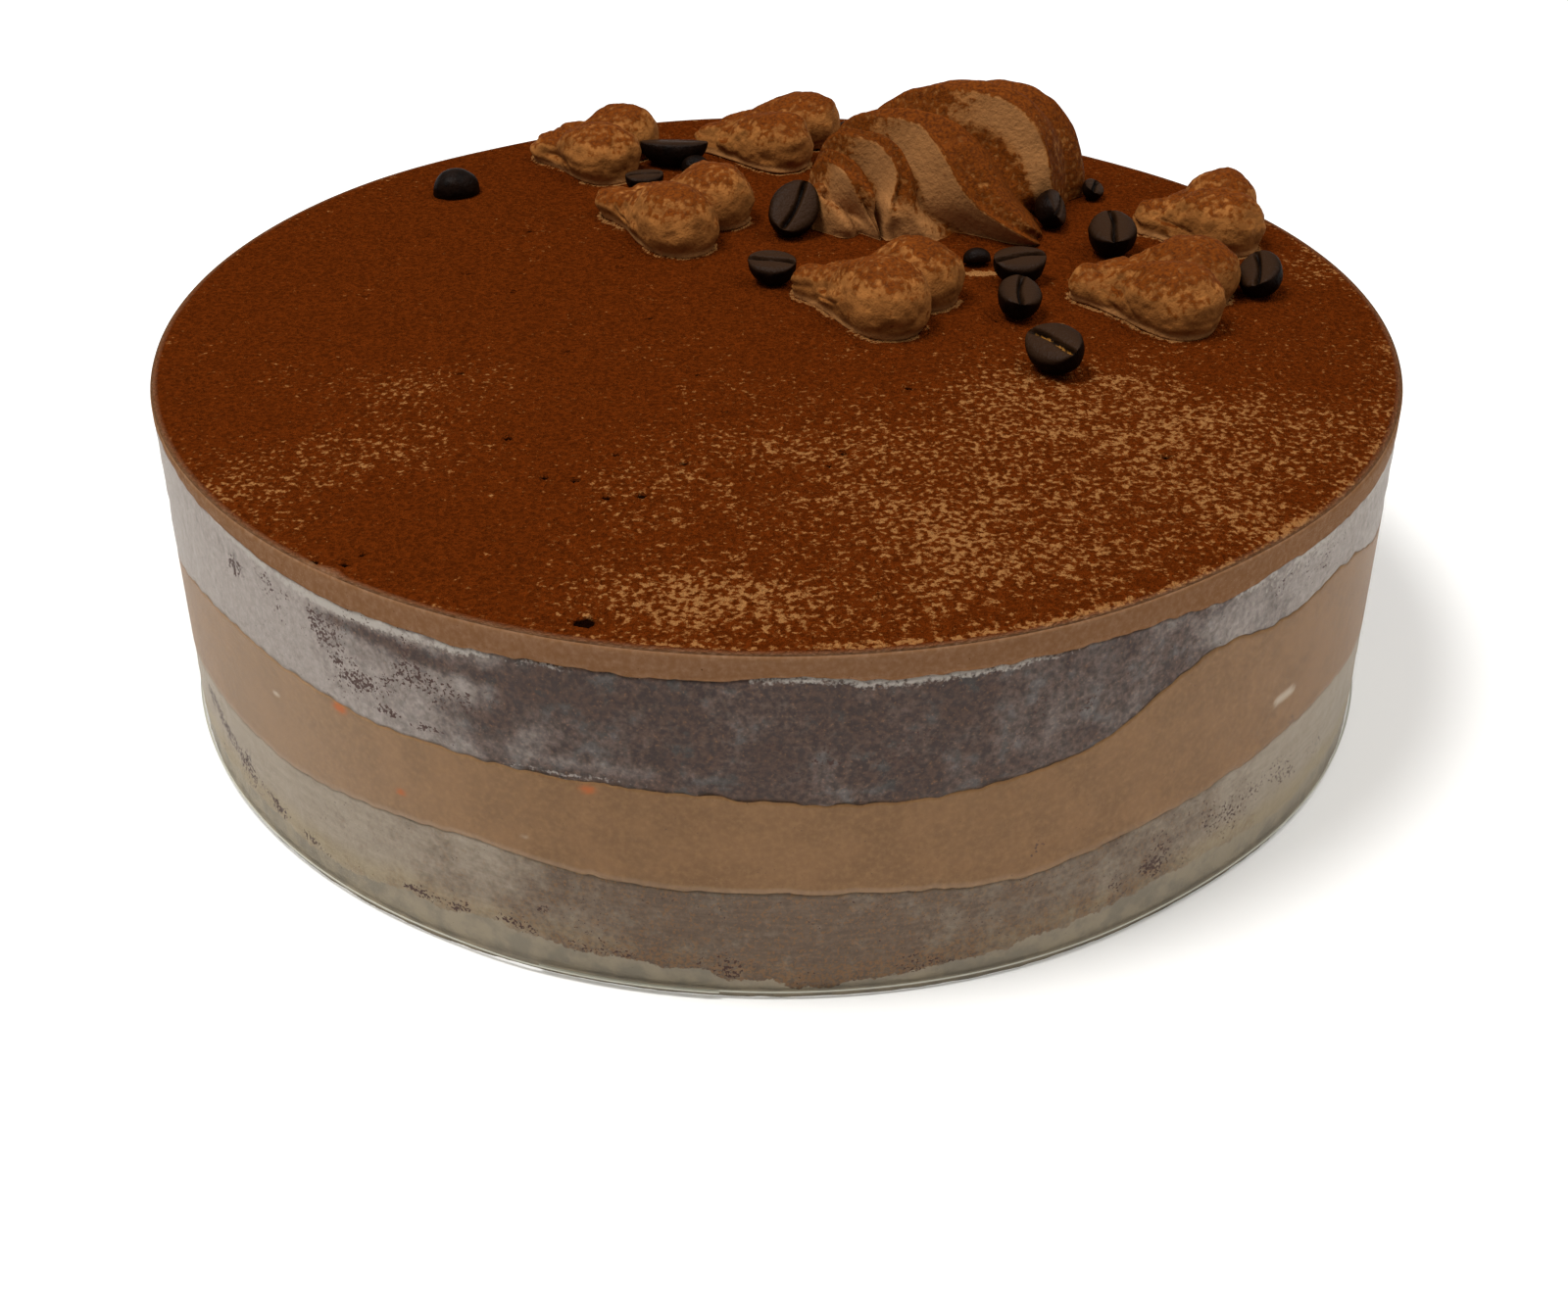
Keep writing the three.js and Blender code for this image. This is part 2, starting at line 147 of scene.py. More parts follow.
def add_piece(name, points, faces, material, stands_for=(), attributes=None):
    """Points are in millimetres. The piece rides on the model's only body."""
    mesh = bpy.data.meshes.new(name)
    mesh.from_pydata((np.asarray(points) * MM).tolist(), [], faces)
    mesh.polygons.foreach_set("use_smooth", [True] * len(mesh.polygons))
    for label, values in (attributes or {}).items():
        layer = mesh.attributes.new(label, "FLOAT", "POINT")
        layer.data.foreach_set("value", np.asarray(values, np.float32).ravel())
    mesh.materials.append(material)
    mesh.update()
    piece = bpy.data.objects.new(name, mesh)
    bpy.context.scene.collection.objects.link(piece)
    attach(piece, "root")
    if stands_for:
        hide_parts(*stands_for)
    return piece


# %% [markdown]
# ## Colours and nodes
# Colours are written as the sRGB hex that a colour picker shows, and one function turns them to the
# linear light that Blender works in. One more function adds any node with its settings and links.
# A word as an input stands for the number that is stored under it at each point of the mesh.

# %% Colour and node helpers
def linear(hex_colour):
    """The hex of a colour picker, as linear light."""
    parts = [int(hex_colour[i : i + 2], 16) / 255 for i in (1, 3, 5)]
    return [p / 12.92 if p < 0.04045 else ((p + 0.055) / 1.055) ** 2.4 for p in parts] + [1]


def add_node(tree, kind, inputs=None, **settings):
    """Adds a node. An input is a value, a hex colour, a stored number's name or a node's output."""
    made = tree.nodes.new("ShaderNode" + kind)
    for label, value in settings.items():
        setattr(made, label, value)
    for label, value in (inputs or {}).items():
        if isinstance(value, str) and value.startswith("#"):
            value = linear(value)
        elif isinstance(value, str):
            value = add_node(tree, "Attribute", attribute_name=value).outputs["Fac"]
        if isinstance(value, bpy.types.NodeSocket):
            tree.links.new(value, made.inputs[label])
        else:
            made.inputs[label].default_value = value
    return made


def new_material(name, **values):
    """A material with only its shader's own values set, ready for more nodes."""
    material = bpy.data.materials.new(name)
    material.use_nodes = True
    shader = material.node_tree.nodes["Principled BSDF"]
    for label, value in values.items():
        shader.inputs[label.replace("_", " ")].default_value = value
    return material, material.node_tree, shader


# %% [markdown]
# Most finishes here are one colour laid over another through a patchy mask: a noise whose patches
# have a real width, a number stored in the mesh, or a weighted sum of such patterns.

# %% Patterns and layers of colour
def patches(tree, width_mm, detail=3, stretch=(1, 1, 1)):
    """Noise with patches about that wide, from the place in the object."""
    place = add_node(tree, "TexCoord").outputs["Object"]
    scaled = add_node(tree, "Mapping", {"Vector": place, "Scale": stretch}).outputs[0]
    settings = {"Vector": scaled, "Scale": 1 / (width_mm * MM), "Detail": detail}
    return add_node(tree, "TexNoise", settings | {"Roughness": 0.6}).outputs[0]


def add_up(tree, *parts):
    """The sum of some patterns, each times its own weight."""
    total = 0.0
    for pattern, weight in parts:
        terms = {0: pattern, 1: weight, 2: total}
        total = add_node(tree, "Math", terms, operation="MULTIPLY_ADD").outputs[0]
    return total


def coat(tree, under, over, mask, low=None, high=None):
    """Lays one colour over another, by the mask itself or where it rises from low to high."""
    if low is not None:
        span = {"Value": mask, "From Min": low, "From Max": high}
        mask = add_node(tree, "MapRange", span, interpolation_type="SMOOTHSTEP").outputs[0]
    layers = {0: mask, 6: under, 7: over}
    return add_node(tree, "Mix", layers, data_type="RGBA", clamp_factor=True).outputs[2]


def specks(tree, under, over, width_mm, density):
    """Small ragged marks about that wide: none at density 0, most of the surface at 1."""
    raised = add_up(tree, (patches(tree, width_mm, 2), 1), (density, 0.36))
    return coat(tree, under, over, raised, 0.76, 0.79)


def finish(tree, shader, colour, height, depth_mm):
    """Joins the colour, and roughens the light as if the surface rose and fell by that depth."""
    relief = add_node(tree, "Bump", {"Height": height, "Distance": depth_mm * MM, "Strength": 1.0})
    tree.links.new(relief.outputs[0], shader.inputs["Normal"])
    tree.links.new(colour, shader.inputs["Base Color"])
    print("nodes in this finish:", len(tree.nodes))


# %% [markdown]
# ## Set coffee mousse
# Mousse is whipped cream set with gelatine. Against the film it sets smooth and close, with a few
# pinholes and specks of ground coffee, small marks of cream and crumbs of orange sugar. It is soft
# and damp, so it has a weak, broad shine. Like all damp food here, its index is near 1.45.

# %% Mousse finish
mousse, tree, shader = new_material("set_coffee_mousse", Roughness=0.6, IOR=1.45)
MOUSSE_TAN = "#79542c"
MOUSSE_SHADE = "#6e4b23"
MOUSSE_LIGHT = "#876238"
GROUND_COFFEE = "#50341f"
PALE_MARK_AND_PAINTED_LIGHT = "#b5a590"
ORANGE_MARK = "#a5520a"
colour = coat(tree, MOUSSE_TAN, MOUSSE_SHADE, patches(tree, 7.0), 0.35, 0.65)
colour = coat(tree, colour, MOUSSE_LIGHT, patches(tree, 0.9, 2), 0.3, 1.0)
colour = specks(tree, colour, GROUND_COFFEE, 0.4, 0.12)
# Pale marks of cream, with a painted highlight along the lower joint and painted light on the left
colour = coat(tree, colour, PALE_MARK_AND_PAINTED_LIGHT, "pale")
colour = coat(tree, colour, ORANGE_MARK, "orange")
colour = specks(tree, colour, GROUND_COFFEE, 0.6, "crumbs")
finish(tree, shader, colour, patches(tree, 1.4, 3), 0.04)

# %% [markdown]
# ## Cocoa sponge behind film
# Baked sponge is matt, and a little smoother where it is damp: rough 0.65, index near 1.45. Where it
# presses on the film it looks dark and wet. Where it stands off, the film is frosted by fat and damp
# and the sponge looks pale grey, with the highest crumbs still touching as dark specks. Foam of the
# mousse shows along the joints. The lower sponge has soaked up syrup, so it is tanner and wiped
# along by the film. At its foot, a grey band is a smear of grease on the film with a painted
# reflection of the floor in it. The masks for all this are worked out at each point when the layers
# are made.

# %% Sponge colours
sponge, tree, shader = new_material("cocoa_sponge_behind_film", Roughness=0.65, IOR=1.45)
CRUMB_DARK = "#301f17"
CRUMB_LIGHT = "#4c3325"
CRUMB_BLUISH = "#2f2723"
CRUMB_ORANGE = "#684627"
SOAKED_DARK = "#594735"
SOAKED_TAN = "#6d5842"
SOAKED_GRAIN = "#7a5833"
FROST_SHADE = "#81776f"
FROST_PALE = "#9d9189"
WARM_SHADE = "#86765a"
WARM_PALE = "#99896e"
FOAM = "#a2998f"
FOOT_SMEAR_AND_REFLECTION = "#8e816b"
FOOT_SMEAR_AND_REFLECTION_DARK = "#7a705f"
SPECK = "#3a1c0e"

# %% [markdown]
# The crumb comes first, with holes and crumbs about a millimetre across. The wiped pattern is a
# crumb drawn out along the side.

# %% Sponge crumb
WIPED = (0.13, 0.13, 1.5)
fine = patches(tree, 0.9, 4)
broad = patches(tree, 3.2, 3)
wiped = patches(tree, 1.3, 4, WIPED)
crumb = coat(tree, CRUMB_DARK, CRUMB_LIGHT, fine, 0.35, 0.65)
crumb = coat(tree, crumb, CRUMB_BLUISH, broad, 0.56, 0.66)
crumb = coat(tree, crumb, CRUMB_ORANGE, patches(tree, 0.45, 3), 0.6, 0.72)
share = add_up(tree, ("soaked", 0.8))
mottled = add_node(tree, "Mix", {0: share, 2: fine, 3: wiped}, data_type="FLOAT").outputs[0]
soaked = coat(tree, SOAKED_DARK, SOAKED_TAN, mottled, 0.35, 0.65)
grains = add_up(tree, (patches(tree, 0.55, 3), 1), ("warmth", 0.2))
soaked = coat(tree, soaked, SOAKED_GRAIN, grains, 0.64, 0.76)
crumb = coat(tree, crumb, soaked, "soaked")

# %% Frost, foam, smear with a painted reflection, and specks over the crumb
grey_frost = coat(tree, FROST_SHADE, FROST_PALE, mottled, 0.15, 0.85)
warm_frost = coat(tree, WARM_SHADE, WARM_PALE, mottled, 0.2, 0.8)
frost = coat(tree, grey_frost, warm_frost, "warmth")
veil = add_up(tree, ("frost", 1), (broad, 0.9), (fine, 0.5))
colour = coat(tree, crumb, frost, veil, 0.62, 1.72)
froth = add_up(tree, ("foam", 1), (patches(tree, 0.6, 2), 1))
colour = coat(tree, colour, FOAM, froth, 0.8, 1.15)
# Foot band: a smear of grease on the film with a painted reflection of the floor in it
foot = coat(tree, FOOT_SMEAR_AND_REFLECTION, FOOT_SMEAR_AND_REFLECTION_DARK, patches(tree, 4.0), 0.35, 0.65)
smear_and_reflection_mask = add_up(tree, ("smear", 1), (patches(tree, 1.2, 4), 1))
colour = coat(tree, colour, foot, smear_and_reflection_mask, 0.95, 1.08)
colour = specks(tree, colour, SPECK, 0.5, "specks")
finish(tree, shader, colour, fine, 0.1)

# %% [markdown]
# ## Sieved cocoa
# Cocoa powder is ground to about 0.02 mm, far too fine to show, but it falls in clumps. They are
# drawn 0.7 mm wide, coarser than real, so that the relief shows. Thick powder is one deep brown with
# no gloss at all. Where it is thin, mousse shows between the clumps in a speckle about a millimetre
# across: a stored number says how thin, and noise decides where the gaps fall. The same mesh carries
# the bare band of mousse below the rim.

# %% Cocoa finish
cocoa, tree, shader = new_material("sieved_cocoa_on_mousse", Roughness=1.0, IOR=1.4,
                                   Specular_IOR_Level=0.0)
COCOA_DEEP = "#461b04"
COCOA_LIGHT = "#622908"
COCOA_THIN = "#6e3a16"
SHOWING_MOUSSE = "#956539"
PAINTED_PIT_SHADE = "#120502"
TOP_BAND = "#765337"
BAND_LIGHT = "#886850"
grain = patches(tree, 0.7, 3)
powder = coat(tree, COCOA_DEEP, COCOA_LIGHT, grain, 0.3, 0.72)
gaps = add_up(tree, (patches(tree, 1.0, 5), 1), ("thin", 0.24))
colour = coat(tree, powder, COCOA_THIN, gaps, 0.63, 0.71)
colour = coat(tree, colour, SHOWING_MOUSSE, gaps, 0.68, 0.77)
# Painted shade: the pits are darkened in colour as well as sunk
colour = coat(tree, colour, PAINTED_PIT_SHADE, "pit", 0.15, 0.5)
band = coat(tree, TOP_BAND, BAND_LIGHT, patches(tree, 0.9, 3), 0.3, 0.9)
band = specks(tree, band, GROUND_COFFEE, 0.4, 0.12)
colour = coat(tree, colour, band, "side")
powdered = add_up(tree, ("side", -1.0), (1.0, 1.0))
finish(tree, shader, colour, add_up(tree, (grain, powdered)), 1.8)

# %% [markdown]
# ## Piped coffee cream
# Whipped cream for piping is fat and air. It is stiff and matt, rough 0.75 with an index near 1.45,
# and its skin is slightly torn. Cocoa sieved from above stays on what faces up and leaves the steep
# sides bare.

# %% Cream finish
cream, tree, shader = new_material("piped_coffee_cream", Roughness=0.75, IOR=1.45,
                                   Specular_IOR_Level=0.05)
CREAM_TAN = "#905b2b"
CREAM_SHADE = "#784920"
CREAM_PALE = "#94653a"
DUST_DEEP = "#431c02"
DUST_LIGHT = "#683206"
body = coat(tree, CREAM_TAN, CREAM_SHADE, patches(tree, 4.0), 0.35, 0.65)
body = coat(tree, body, CREAM_PALE, "pale")
clump = patches(tree, 1.2, 4)
lying = add_up(tree, (clump, 1), ("dust", 0.36))
dusting = coat(tree, DUST_DEEP, DUST_LIGHT, patches(tree, 0.6, 3), 0.3, 0.7)
colour = coat(tree, body, dusting, lying, 0.57, 0.8)
finish(tree, shader, colour, clump, 0.35)

# %% [markdown]
# ## Roasted coffee bean
# A medium to dark roast is dry wood-like fibre, brown-grey with a faint sheen: rough 0.42, index
# near 1.5. Its flat face is painted lighter than its back, as painted light from above. The crease is
# painted dark as shade and keeps a thread of golden skin.

# %% Bean finish
bean_skin, tree, shader = new_material("roasted_coffee_bean", Roughness=0.42, IOR=1.5,
                                       Specular_IOR_Level=0.04)
BEAN_FACE_PAINTED_LIGHT = "#2a190c"
BEAN_DARK = "#080301"
BEAN_BROWN = "#140904"
CREASE_PAINTED_SHADE = "#050201"
CHAFF = "#8a5c22"
body = coat(tree, BEAN_DARK, BEAN_BROWN, patches(tree, 2.0, 3), 0.3, 0.7)
# Painted light: the flat face, which looks up, is made lighter than the back
colour = coat(tree, body, BEAN_FACE_PAINTED_LIGHT, "face")
# Painted shade in the crease
colour = coat(tree, colour, CREASE_PAINTED_SHADE, "crease")
thread = add_up(tree, ("chaff", patches(tree, 1.0, 2)))
colour = coat(tree, colour, CHAFF, thread, 0.36, 0.5)
finish(tree, shader, colour, patches(tree, 0.9, 4), 0.25)

# %% [markdown]
# ## Clear film
# The collar is acetate sheet, cut from a clear roll: glossy, colourless, index near 1.49. So thin a
# sheet lets nearly all light straight through, so a see-through shader carries it, with a little
# gloss where the light grazes it. Its lower cut edge is duller, and painted pale as a highlight.

# %% Film finish
FILM_TINT = linear("#ddd7c3")
CUT_EDGE_HIGHLIGHT_TINT = linear("#b9b6a6")
film, tree, shader = new_material("clear_acetate_film", Roughness=0.12, IOR=1.49,
                                  Base_Color=FILM_TINT)
clear = add_node(tree, "BsdfTransparent", {"Color": (1, 1, 1, 1)})
facing = add_node(tree, "LayerWeight", {"Blend": 0.35}).outputs["Facing"]
grazing = {"Value": facing, "From Min": 0.3, "From Max": 5.0}
seen = add_node(tree, "MapRange", grazing, interpolation_type="SMOOTHSTEP").outputs[0]
joined = add_node(tree, "MixShader", {0: seen, 1: clear.outputs[0], 2: shader.outputs[0]})
tree.links.new(joined.outputs[0], tree.nodes["Material Output"].inputs["Surface"])
cut_edge_highlight = new_material("cut_film_edge_painted_highlight", Roughness=0.3, IOR=1.49, Base_Color=CUT_EDGE_HIGHLIGHT_TINT)[0]

# %% [markdown]
# ## The joints between the layers
# Sponge is laid into soft mousse, so each joint rises and falls round the cake. The slow waves are
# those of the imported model. A fine raggedness is added, because crumbs stand into the mousse.

# %% Joints
angles = np.arange(COLUMNS) * 360 / COLUMNS


def on_side(angle, radius, height):
    a = np.radians(angle)
    return np.stack(np.broadcast_arrays(radius * np.sin(a), -radius * np.cos(a), height), -1)


def ragged(seed, amount):
    rim = on_side(angles, CAKE_RADIUS, seed * 9.0)
    rough = noise(rim, 7, seed, 2) * 0.5 + noise(rim, 1.8, seed + 1, 2) * 0.5
    return rough * amount


BASE_LEVEL, MIDDLE_LEVEL, UPPER_LEVEL = 18.8, 35.6, 53.5
base_top = ragged(3, 0.45) + wavy(BASE_LEVEL, [
    (-74, -3.0, 9), (-26, 2.2, 11), (19, -2.0, 9), (54, 2.8, 14), (140, 1.6, 30), (-130, -1.4, 26),
])(angles)
middle_top = ragged(5, 0.55) + wavy(MIDDLE_LEVEL, [
    (-76, -5.0, 9), (-52, 1.9, 13), (8, -2.0, 12), (37, 8.6, 9), (55, 9.0, 11),
    (72, 1.5, 9), (150, 3.4, 28), (-140, -2.4, 24),
])(angles)
upper_top = ragged(8, 0.45) + wavy(UPPER_LEVEL, [
    (-66, 3.0, 9), (-50, 1.3, 7), (1, 0.8, 5), (39, -1.0, 5), (100, 0.9, 20), (-120, -1.0, 20),
])(angles)
print(f"joints from {base_top.min():.1f} to {upper_top.max():.1f} mm")


# %% [markdown]
# Each layer is one closed body. The waves of its joints settle on the way in, because the layers
# inside a ring cake lie flat.

# %% A layer between two joints
SETTLED = 0.72
WAVE_LEFT_INSIDE = 0.25


def add_layer(name, material, lower, upper, rows, recess, masks):
    """The closed body of a layer: from the middle below, up the side, to the middle above."""
    (low_level, low), (high_level, high) = lower, upper
    radius = side_radius(angles)
    rings = [on_side(angles, radius * SETTLED, mix(low_level, low, WAVE_LEFT_INSIDE))]
    for height in [mix(low, high, t) for t in np.linspace(0, 1, rows)]:
        rings.append(on_side(angles, radius - recess(angles, height), height))
    rings.append(on_side(angles, radius * SETTLED, mix(high_level, high, WAVE_LEFT_INSIDE)))
    points = np.concatenate(rings + [[[0, 0, low_level], [0, 0, high_level]]])
    faces = grid_faces(len(rings), COLUMNS, True).tolist()
    foot, head, top = len(points) - 2, len(points) - 1, (len(rings) - 1) * COLUMNS
    for i in range(COLUMNS):
        faces.append([foot, (i + 1) % COLUMNS, i])
        faces.append([head, top + i, top + (i + 1) % COLUMNS])
    add_piece(name + "_side", points, faces, material, [name], masks(points))
    print(name, "faces:", len(faces))


def angle_of(points):
    return np.degrees(np.arctan2(points[:, 0], -points[:, 1]))


# %% [markdown]
# ## The two sponges
# Their sides stand a hair behind the film and are rough. The masks for the finish follow what the
# real sides show: the left is frosted, the middle is pressed wet against the film, and the right
# frosts again where the mousse squeezes the sponge thin. Behind, patches of both alternate. A mask
# is a sum: slow steps round the cake, soft spots at single places and noise between them.

# %% Sponge masks
def crumb_recess(seed, depth):
    """How far the side stands back, up to that depth."""

    def recess(angle, height):
        place = on_side(angle, CAKE_RADIUS, height)
        return depth * (0.5 + 0.5 * noise(place, 2.2, seed, 2))

    return recess


def spots(angle, height, places):
    """Marks at (angle, height, half width in degrees, half height in mm, strength)."""
    total = 0 * angle
    for where, level, wide, tall, much in places:
        total = total + much * bump_at(angle, where, wide) * bump_at(height, level, tall)
    return total


def frost_round(points, drift, front, level, waves, start, seed):
    """The front's own frost, and slow waves of it about a level on the half behind."""
    slow = np.radians(angle_of(points) * waves + start) + noise(points, 30, seed)
    behind = level + (1 - level) * np.sin(slow)
    frost = mix(front, behind, ramp(66, 96, np.abs(drift)))
    return frost + noise(points, 6, seed + 1, 2) * 0.12


def gathered(points, specks, behind_seed, seed):
    """Adds loose specks on the half behind, and gathers thin scatterings into clusters."""
    behind = 0.25 * ramp(72, 90, np.abs(angle_of(points)))
    specks = specks + behind * ramp(0.2, 0.8, noise(points, 10, behind_seed))
    gather = ramp(-0.35, 0.75, noise(points, 3.5, seed, 2)) * 2.2
    return np.sqrt(np.clip(specks * mix(gather, 1, ramp(0.3, 0.6, specks)), 0, 1))


# %% Masks of the upper sponge
def upper_masks(points):
    angle, height = angle_of(points), points[:, 2]
    drift = angle + noise(points, 9, 21, 2) * 4
    under = np.interp(angle % 360, angles, upper_top) - height
    above = height - np.interp(angle % 360, angles, middle_top)
    left = 1.05 - 0.4 * ramp(-48, -30, drift) - 0.65 * ramp(-27, -19, drift)
    right = 0.16 * ramp(12, 24, drift) + 0.69 * ramp(34, 50, drift)
    frost = frost_round(points, drift, left + right, 0.55, 3, 40, 25)
    frost -= spots(angle, height, [(-24.5, 41.5, 3, 3.2, 0.6), (-33, 50.5, 9, 1.0, 0.55),
                                   (-25, 49.3, 8, 1.2, 0.6), (-50, 51, 6, 1.5, 0.25)])
    frost += spots(angle, height, [(-19.5, 41, 3, 4, 0.45), (-14, 38, 6, 1.2, 0.3),
                                   (40, 50, 8, 4, 0.25)])
    foam = 0.75 * bump_at(under, 0.9, 1.1) * bump_at(angle, -36, 14)
    foam += 0.35 * bump_at(under, 0.3, 0.7) * (noise(points, 6, 22) > -0.3)
    strip = ramp(-8, 4, angle) * (1 - ramp(16, 24, angle))
    foam += 0.34 * bump_at(under, 0.4, 1.4 + 0.9 * noise(points, 4, 28, 3)) * strip
    foam += 0.55 * bump_at(above, 0.5, 0.6) * bump_at(angle, -16, 7)
    foam += 0.4 * ramp(34, 46, angle) * bump_at(under, 2.0, 2.5)
    specks = spots(angle, height, [
        (-36, 46, 12, 8, 0.10), (-30, 47, 7, 5, 0.16), (26, 43, 13, 6, 0.12),
        (8, 42, 14, 2.5, 0.14), (50, 49, 14, 3, 0.12), (-50, 49.5, 1.2, 1.8, 0.9),
        (-39, 48.5, 0.9, 3, 0.7), (-44, 51, 4, 1, 0.3), (-35, 41.5, 1.5, 1.3, 0.8),
        (-32, 38.6, 1.3, 1.0, 0.75), (-28, 38, 2.5, 1.0, 0.6), (-24, 43, 1.5, 1.2, 0.5),
        (-17.5, 46, 1, 1.0, 0.5), (-37, 43.5, 0.8, 0.8, 0.8),
    ])
    return {"frost": frost, "specks": gathered(points, specks, 23, 27), "foam": foam,
            "warmth": 0 * frost, "smear": 0 * frost, "soaked": 0 * frost}


# %% Masks of the base sponge
foot_height = wavy(4.6, [(-24, 2.0, 12), (4, -2.6, 8), (38, 1.6, 14), (-45, 0.6, 8)])


def base_masks(points):
    angle, height = angle_of(points), points[:, 2]
    drift = angle + noise(points, 12, 31, 2) * 5
    foot_edge = foot_height(angle) + noise(points, 6, 32, 3) * 0.9
    above = height - foot_edge
    left = 0.95 - 0.35 * ramp(-46, -30, drift) - 0.6 * ramp(-24, -8, drift)
    right = 0.3 * ramp(8, 24, drift) + 0.7 * ramp(30, 48, drift)
    frost = frost_round(points, drift, left + right, 0.65, 2, 90, 35)
    # Grey band at the foot: a smear on the film with a painted reflection of the floor
    smear = 1 - ramp(-1.6, 1.6, above)
    specks = spots(angle, height, [
        (-62, 14.5, 3, 1.6, 0.7), (-59, 12, 3, 1.6, 0.7), (-55, 10, 3, 1.6, 0.7),
        (-50, 8.5, 3, 1.3, 0.5), (2, 4, 12, 3, 0.28), (31, 10, 3, 2.0, 0.35),
        (45, 12, 16, 4, 0.14), (-19, 11.5, 0.7, 0.8, 0.9),
    ])
    specks += 0.35 * bump_at(above, 0.9, 1.0) * bump_at(angle, -36, 18) + 0.03
    warmth = np.clip(0.55 + 0.45 * bump_at(above, 1.5, 2.5), 0, 1)
    specks = gathered(points, specks, 37, 38) * (smear < 0.5)
    return {"frost": frost, "specks": specks, "foam": 0 * frost,
            "warmth": warmth, "smear": smear, "soaked": 0.75 + 0 * frost}


# %% Build the sponges
SPONGE_ROWS = 26
CRUMB_DEPTH = 0.2
FOOT_SETBACK = 0.1


def base_recess(angle, height):
    tucked = FOOT_SETBACK * (1 - ramp(0.0, 4.0, height))
    return tucked + crumb_recess(33, CRUMB_DEPTH)(angle, height)


add_layer("base_sponge", sponge, (0, 0 * angles), (BASE_LEVEL, base_top), SPONGE_ROWS,
          base_recess, base_masks)
add_layer("upper_sponge", sponge, (MIDDLE_LEVEL, middle_top), (UPPER_LEVEL, upper_top),
          SPONGE_ROWS, crumb_recess(24, CRUMB_DEPTH), upper_masks)

# %% [markdown]
# ## The middle mousse
# It sets against the film, so its side is the film's own smooth curve. A few marks of cream, orange
# sugar and ground coffee lie in it. A pale line along the joint below is a painted highlight, and a
# pale patch on the left is painted light.

# %% Masks of the middle mousse
def mousse_masks(points):
    angle, height = angle_of(points), points[:, 2]
    pale = spots(angle, height, [(48, 28.4, 1.8, 1.0, 0.9), (-46, 31, 0.8, 0.5, 0.6),
                                 (-20, 24, 0.9, 0.5, 0.4)])
    orange = spots(angle, height, [(-14.5, 34.3, 0.45, 0.45, 1.2), (-37.3, 35.4, 0.55, 0.6, 1.2),
                                   (-31.5, 25, 0.35, 0.3, 1.2)])
    crumbs = spots(angle, height, [(50, 22.5, 0.9, 1.6, 0.8), (20.8, 21.5, 0.7, 1.6, 0.7),
                                   (9, 19.5, 1.0, 0.4, 0.6)])
    joint = height - np.interp(angle % 360, angles, base_top)
    # Marks of cream, then a painted highlight as a pale line just above the joint below
    pale = ramp(0.3, 0.5, pale) * 0.75 + 0.25 * bump_at(joint, 0.3, 0.3)
    # Painted light: the left of the layer is made paler
    pale += 0.14 * bump_at(angle, -46, 18)
    return {"pale": pale, "orange": np.clip(orange * 2, 0, 1), "crumbs": crumbs}


# %% Build the middle mousse
MOUSSE_ROWS = 30
FILM_TOUCH = 0.02
add_layer("middle_mousse", mousse, (BASE_LEVEL, base_top), (MIDDLE_LEVEL, middle_top),
          MOUSSE_ROWS, lambda angle, height: FILM_TOUCH, mousse_masks)

# %% [markdown]
# ## The top mousse and its cocoa
# The top was struck level with a palette knife. It dips and swells by a few tenths of a millimetre,
# has pinholes where bubbles broke, and carries the cocoa. Its mesh is a square net pressed into a
# disc, which keeps the net even from the middle to the rim.

# %% A round net
NET = COLUMNS // 4


def round_net():
    """An even net on a disc of radius 1, with its rim points in order round the cake."""
    u = np.linspace(-1, 1, NET + 1)
    a, b = np.meshgrid(u, u, indexing="ij")
    wide = np.abs(a) > np.abs(b)
    with np.errstate(divide="ignore", invalid="ignore"):
        angle = np.where(wide, np.pi / 4 * b / a, np.pi / 2 - np.pi / 4 * a / b)
    radius = np.where(wide, a, b)
    angle = np.where((a == 0) & (b == 0), 0, angle)
    return radius * np.cos(angle), radius * np.sin(angle)


# %% Pits, lumps and thin places of the top
PITS = [(x, y, wide) for wide, places in {
    0.9: [(-13.7, -49.8), (-33.8, -54.3), (-29.0, -54.9), (-24.3, -60.0), (-19.3, -59.2),
          (-40.1, -41.8), (-62.6, -77.8), (-58.4, -78.3), (-27.6, 27.0), (-45.0, 39.1),
          (20.5, -24.9), (57.3, -47.3)],
    0.65: [(-23.6, -47.4), (-56.3, -75.7), (-27.2, 22.6), (-40.3, 6.2), (-21.2, 1.4), (31.7, -9.8),
           (36.3, 0.4), (13.5, -9.6), (-12.5, -19.8), (-45.3, 12.3), (9.7, -46.4), (7.6, -50.1),
           (-62.4, 36.6), (-54.0, 20.0), (-70.0, 10.0), (-34.0, -12.0), (-50.0, -20.0), (-8.0, -33.0)],
    2.0: [(-24.9, -93.0)],
}.items() for x, y in places]
LUMPS = [(-22.3, -90.2, 1.3, 0.5), (56.1, -68.4, 1.6, 0.5), (79.9, -43.3, 0.7, 0.5),
         (-37.9, 9.8, 0.6, 0.4)]
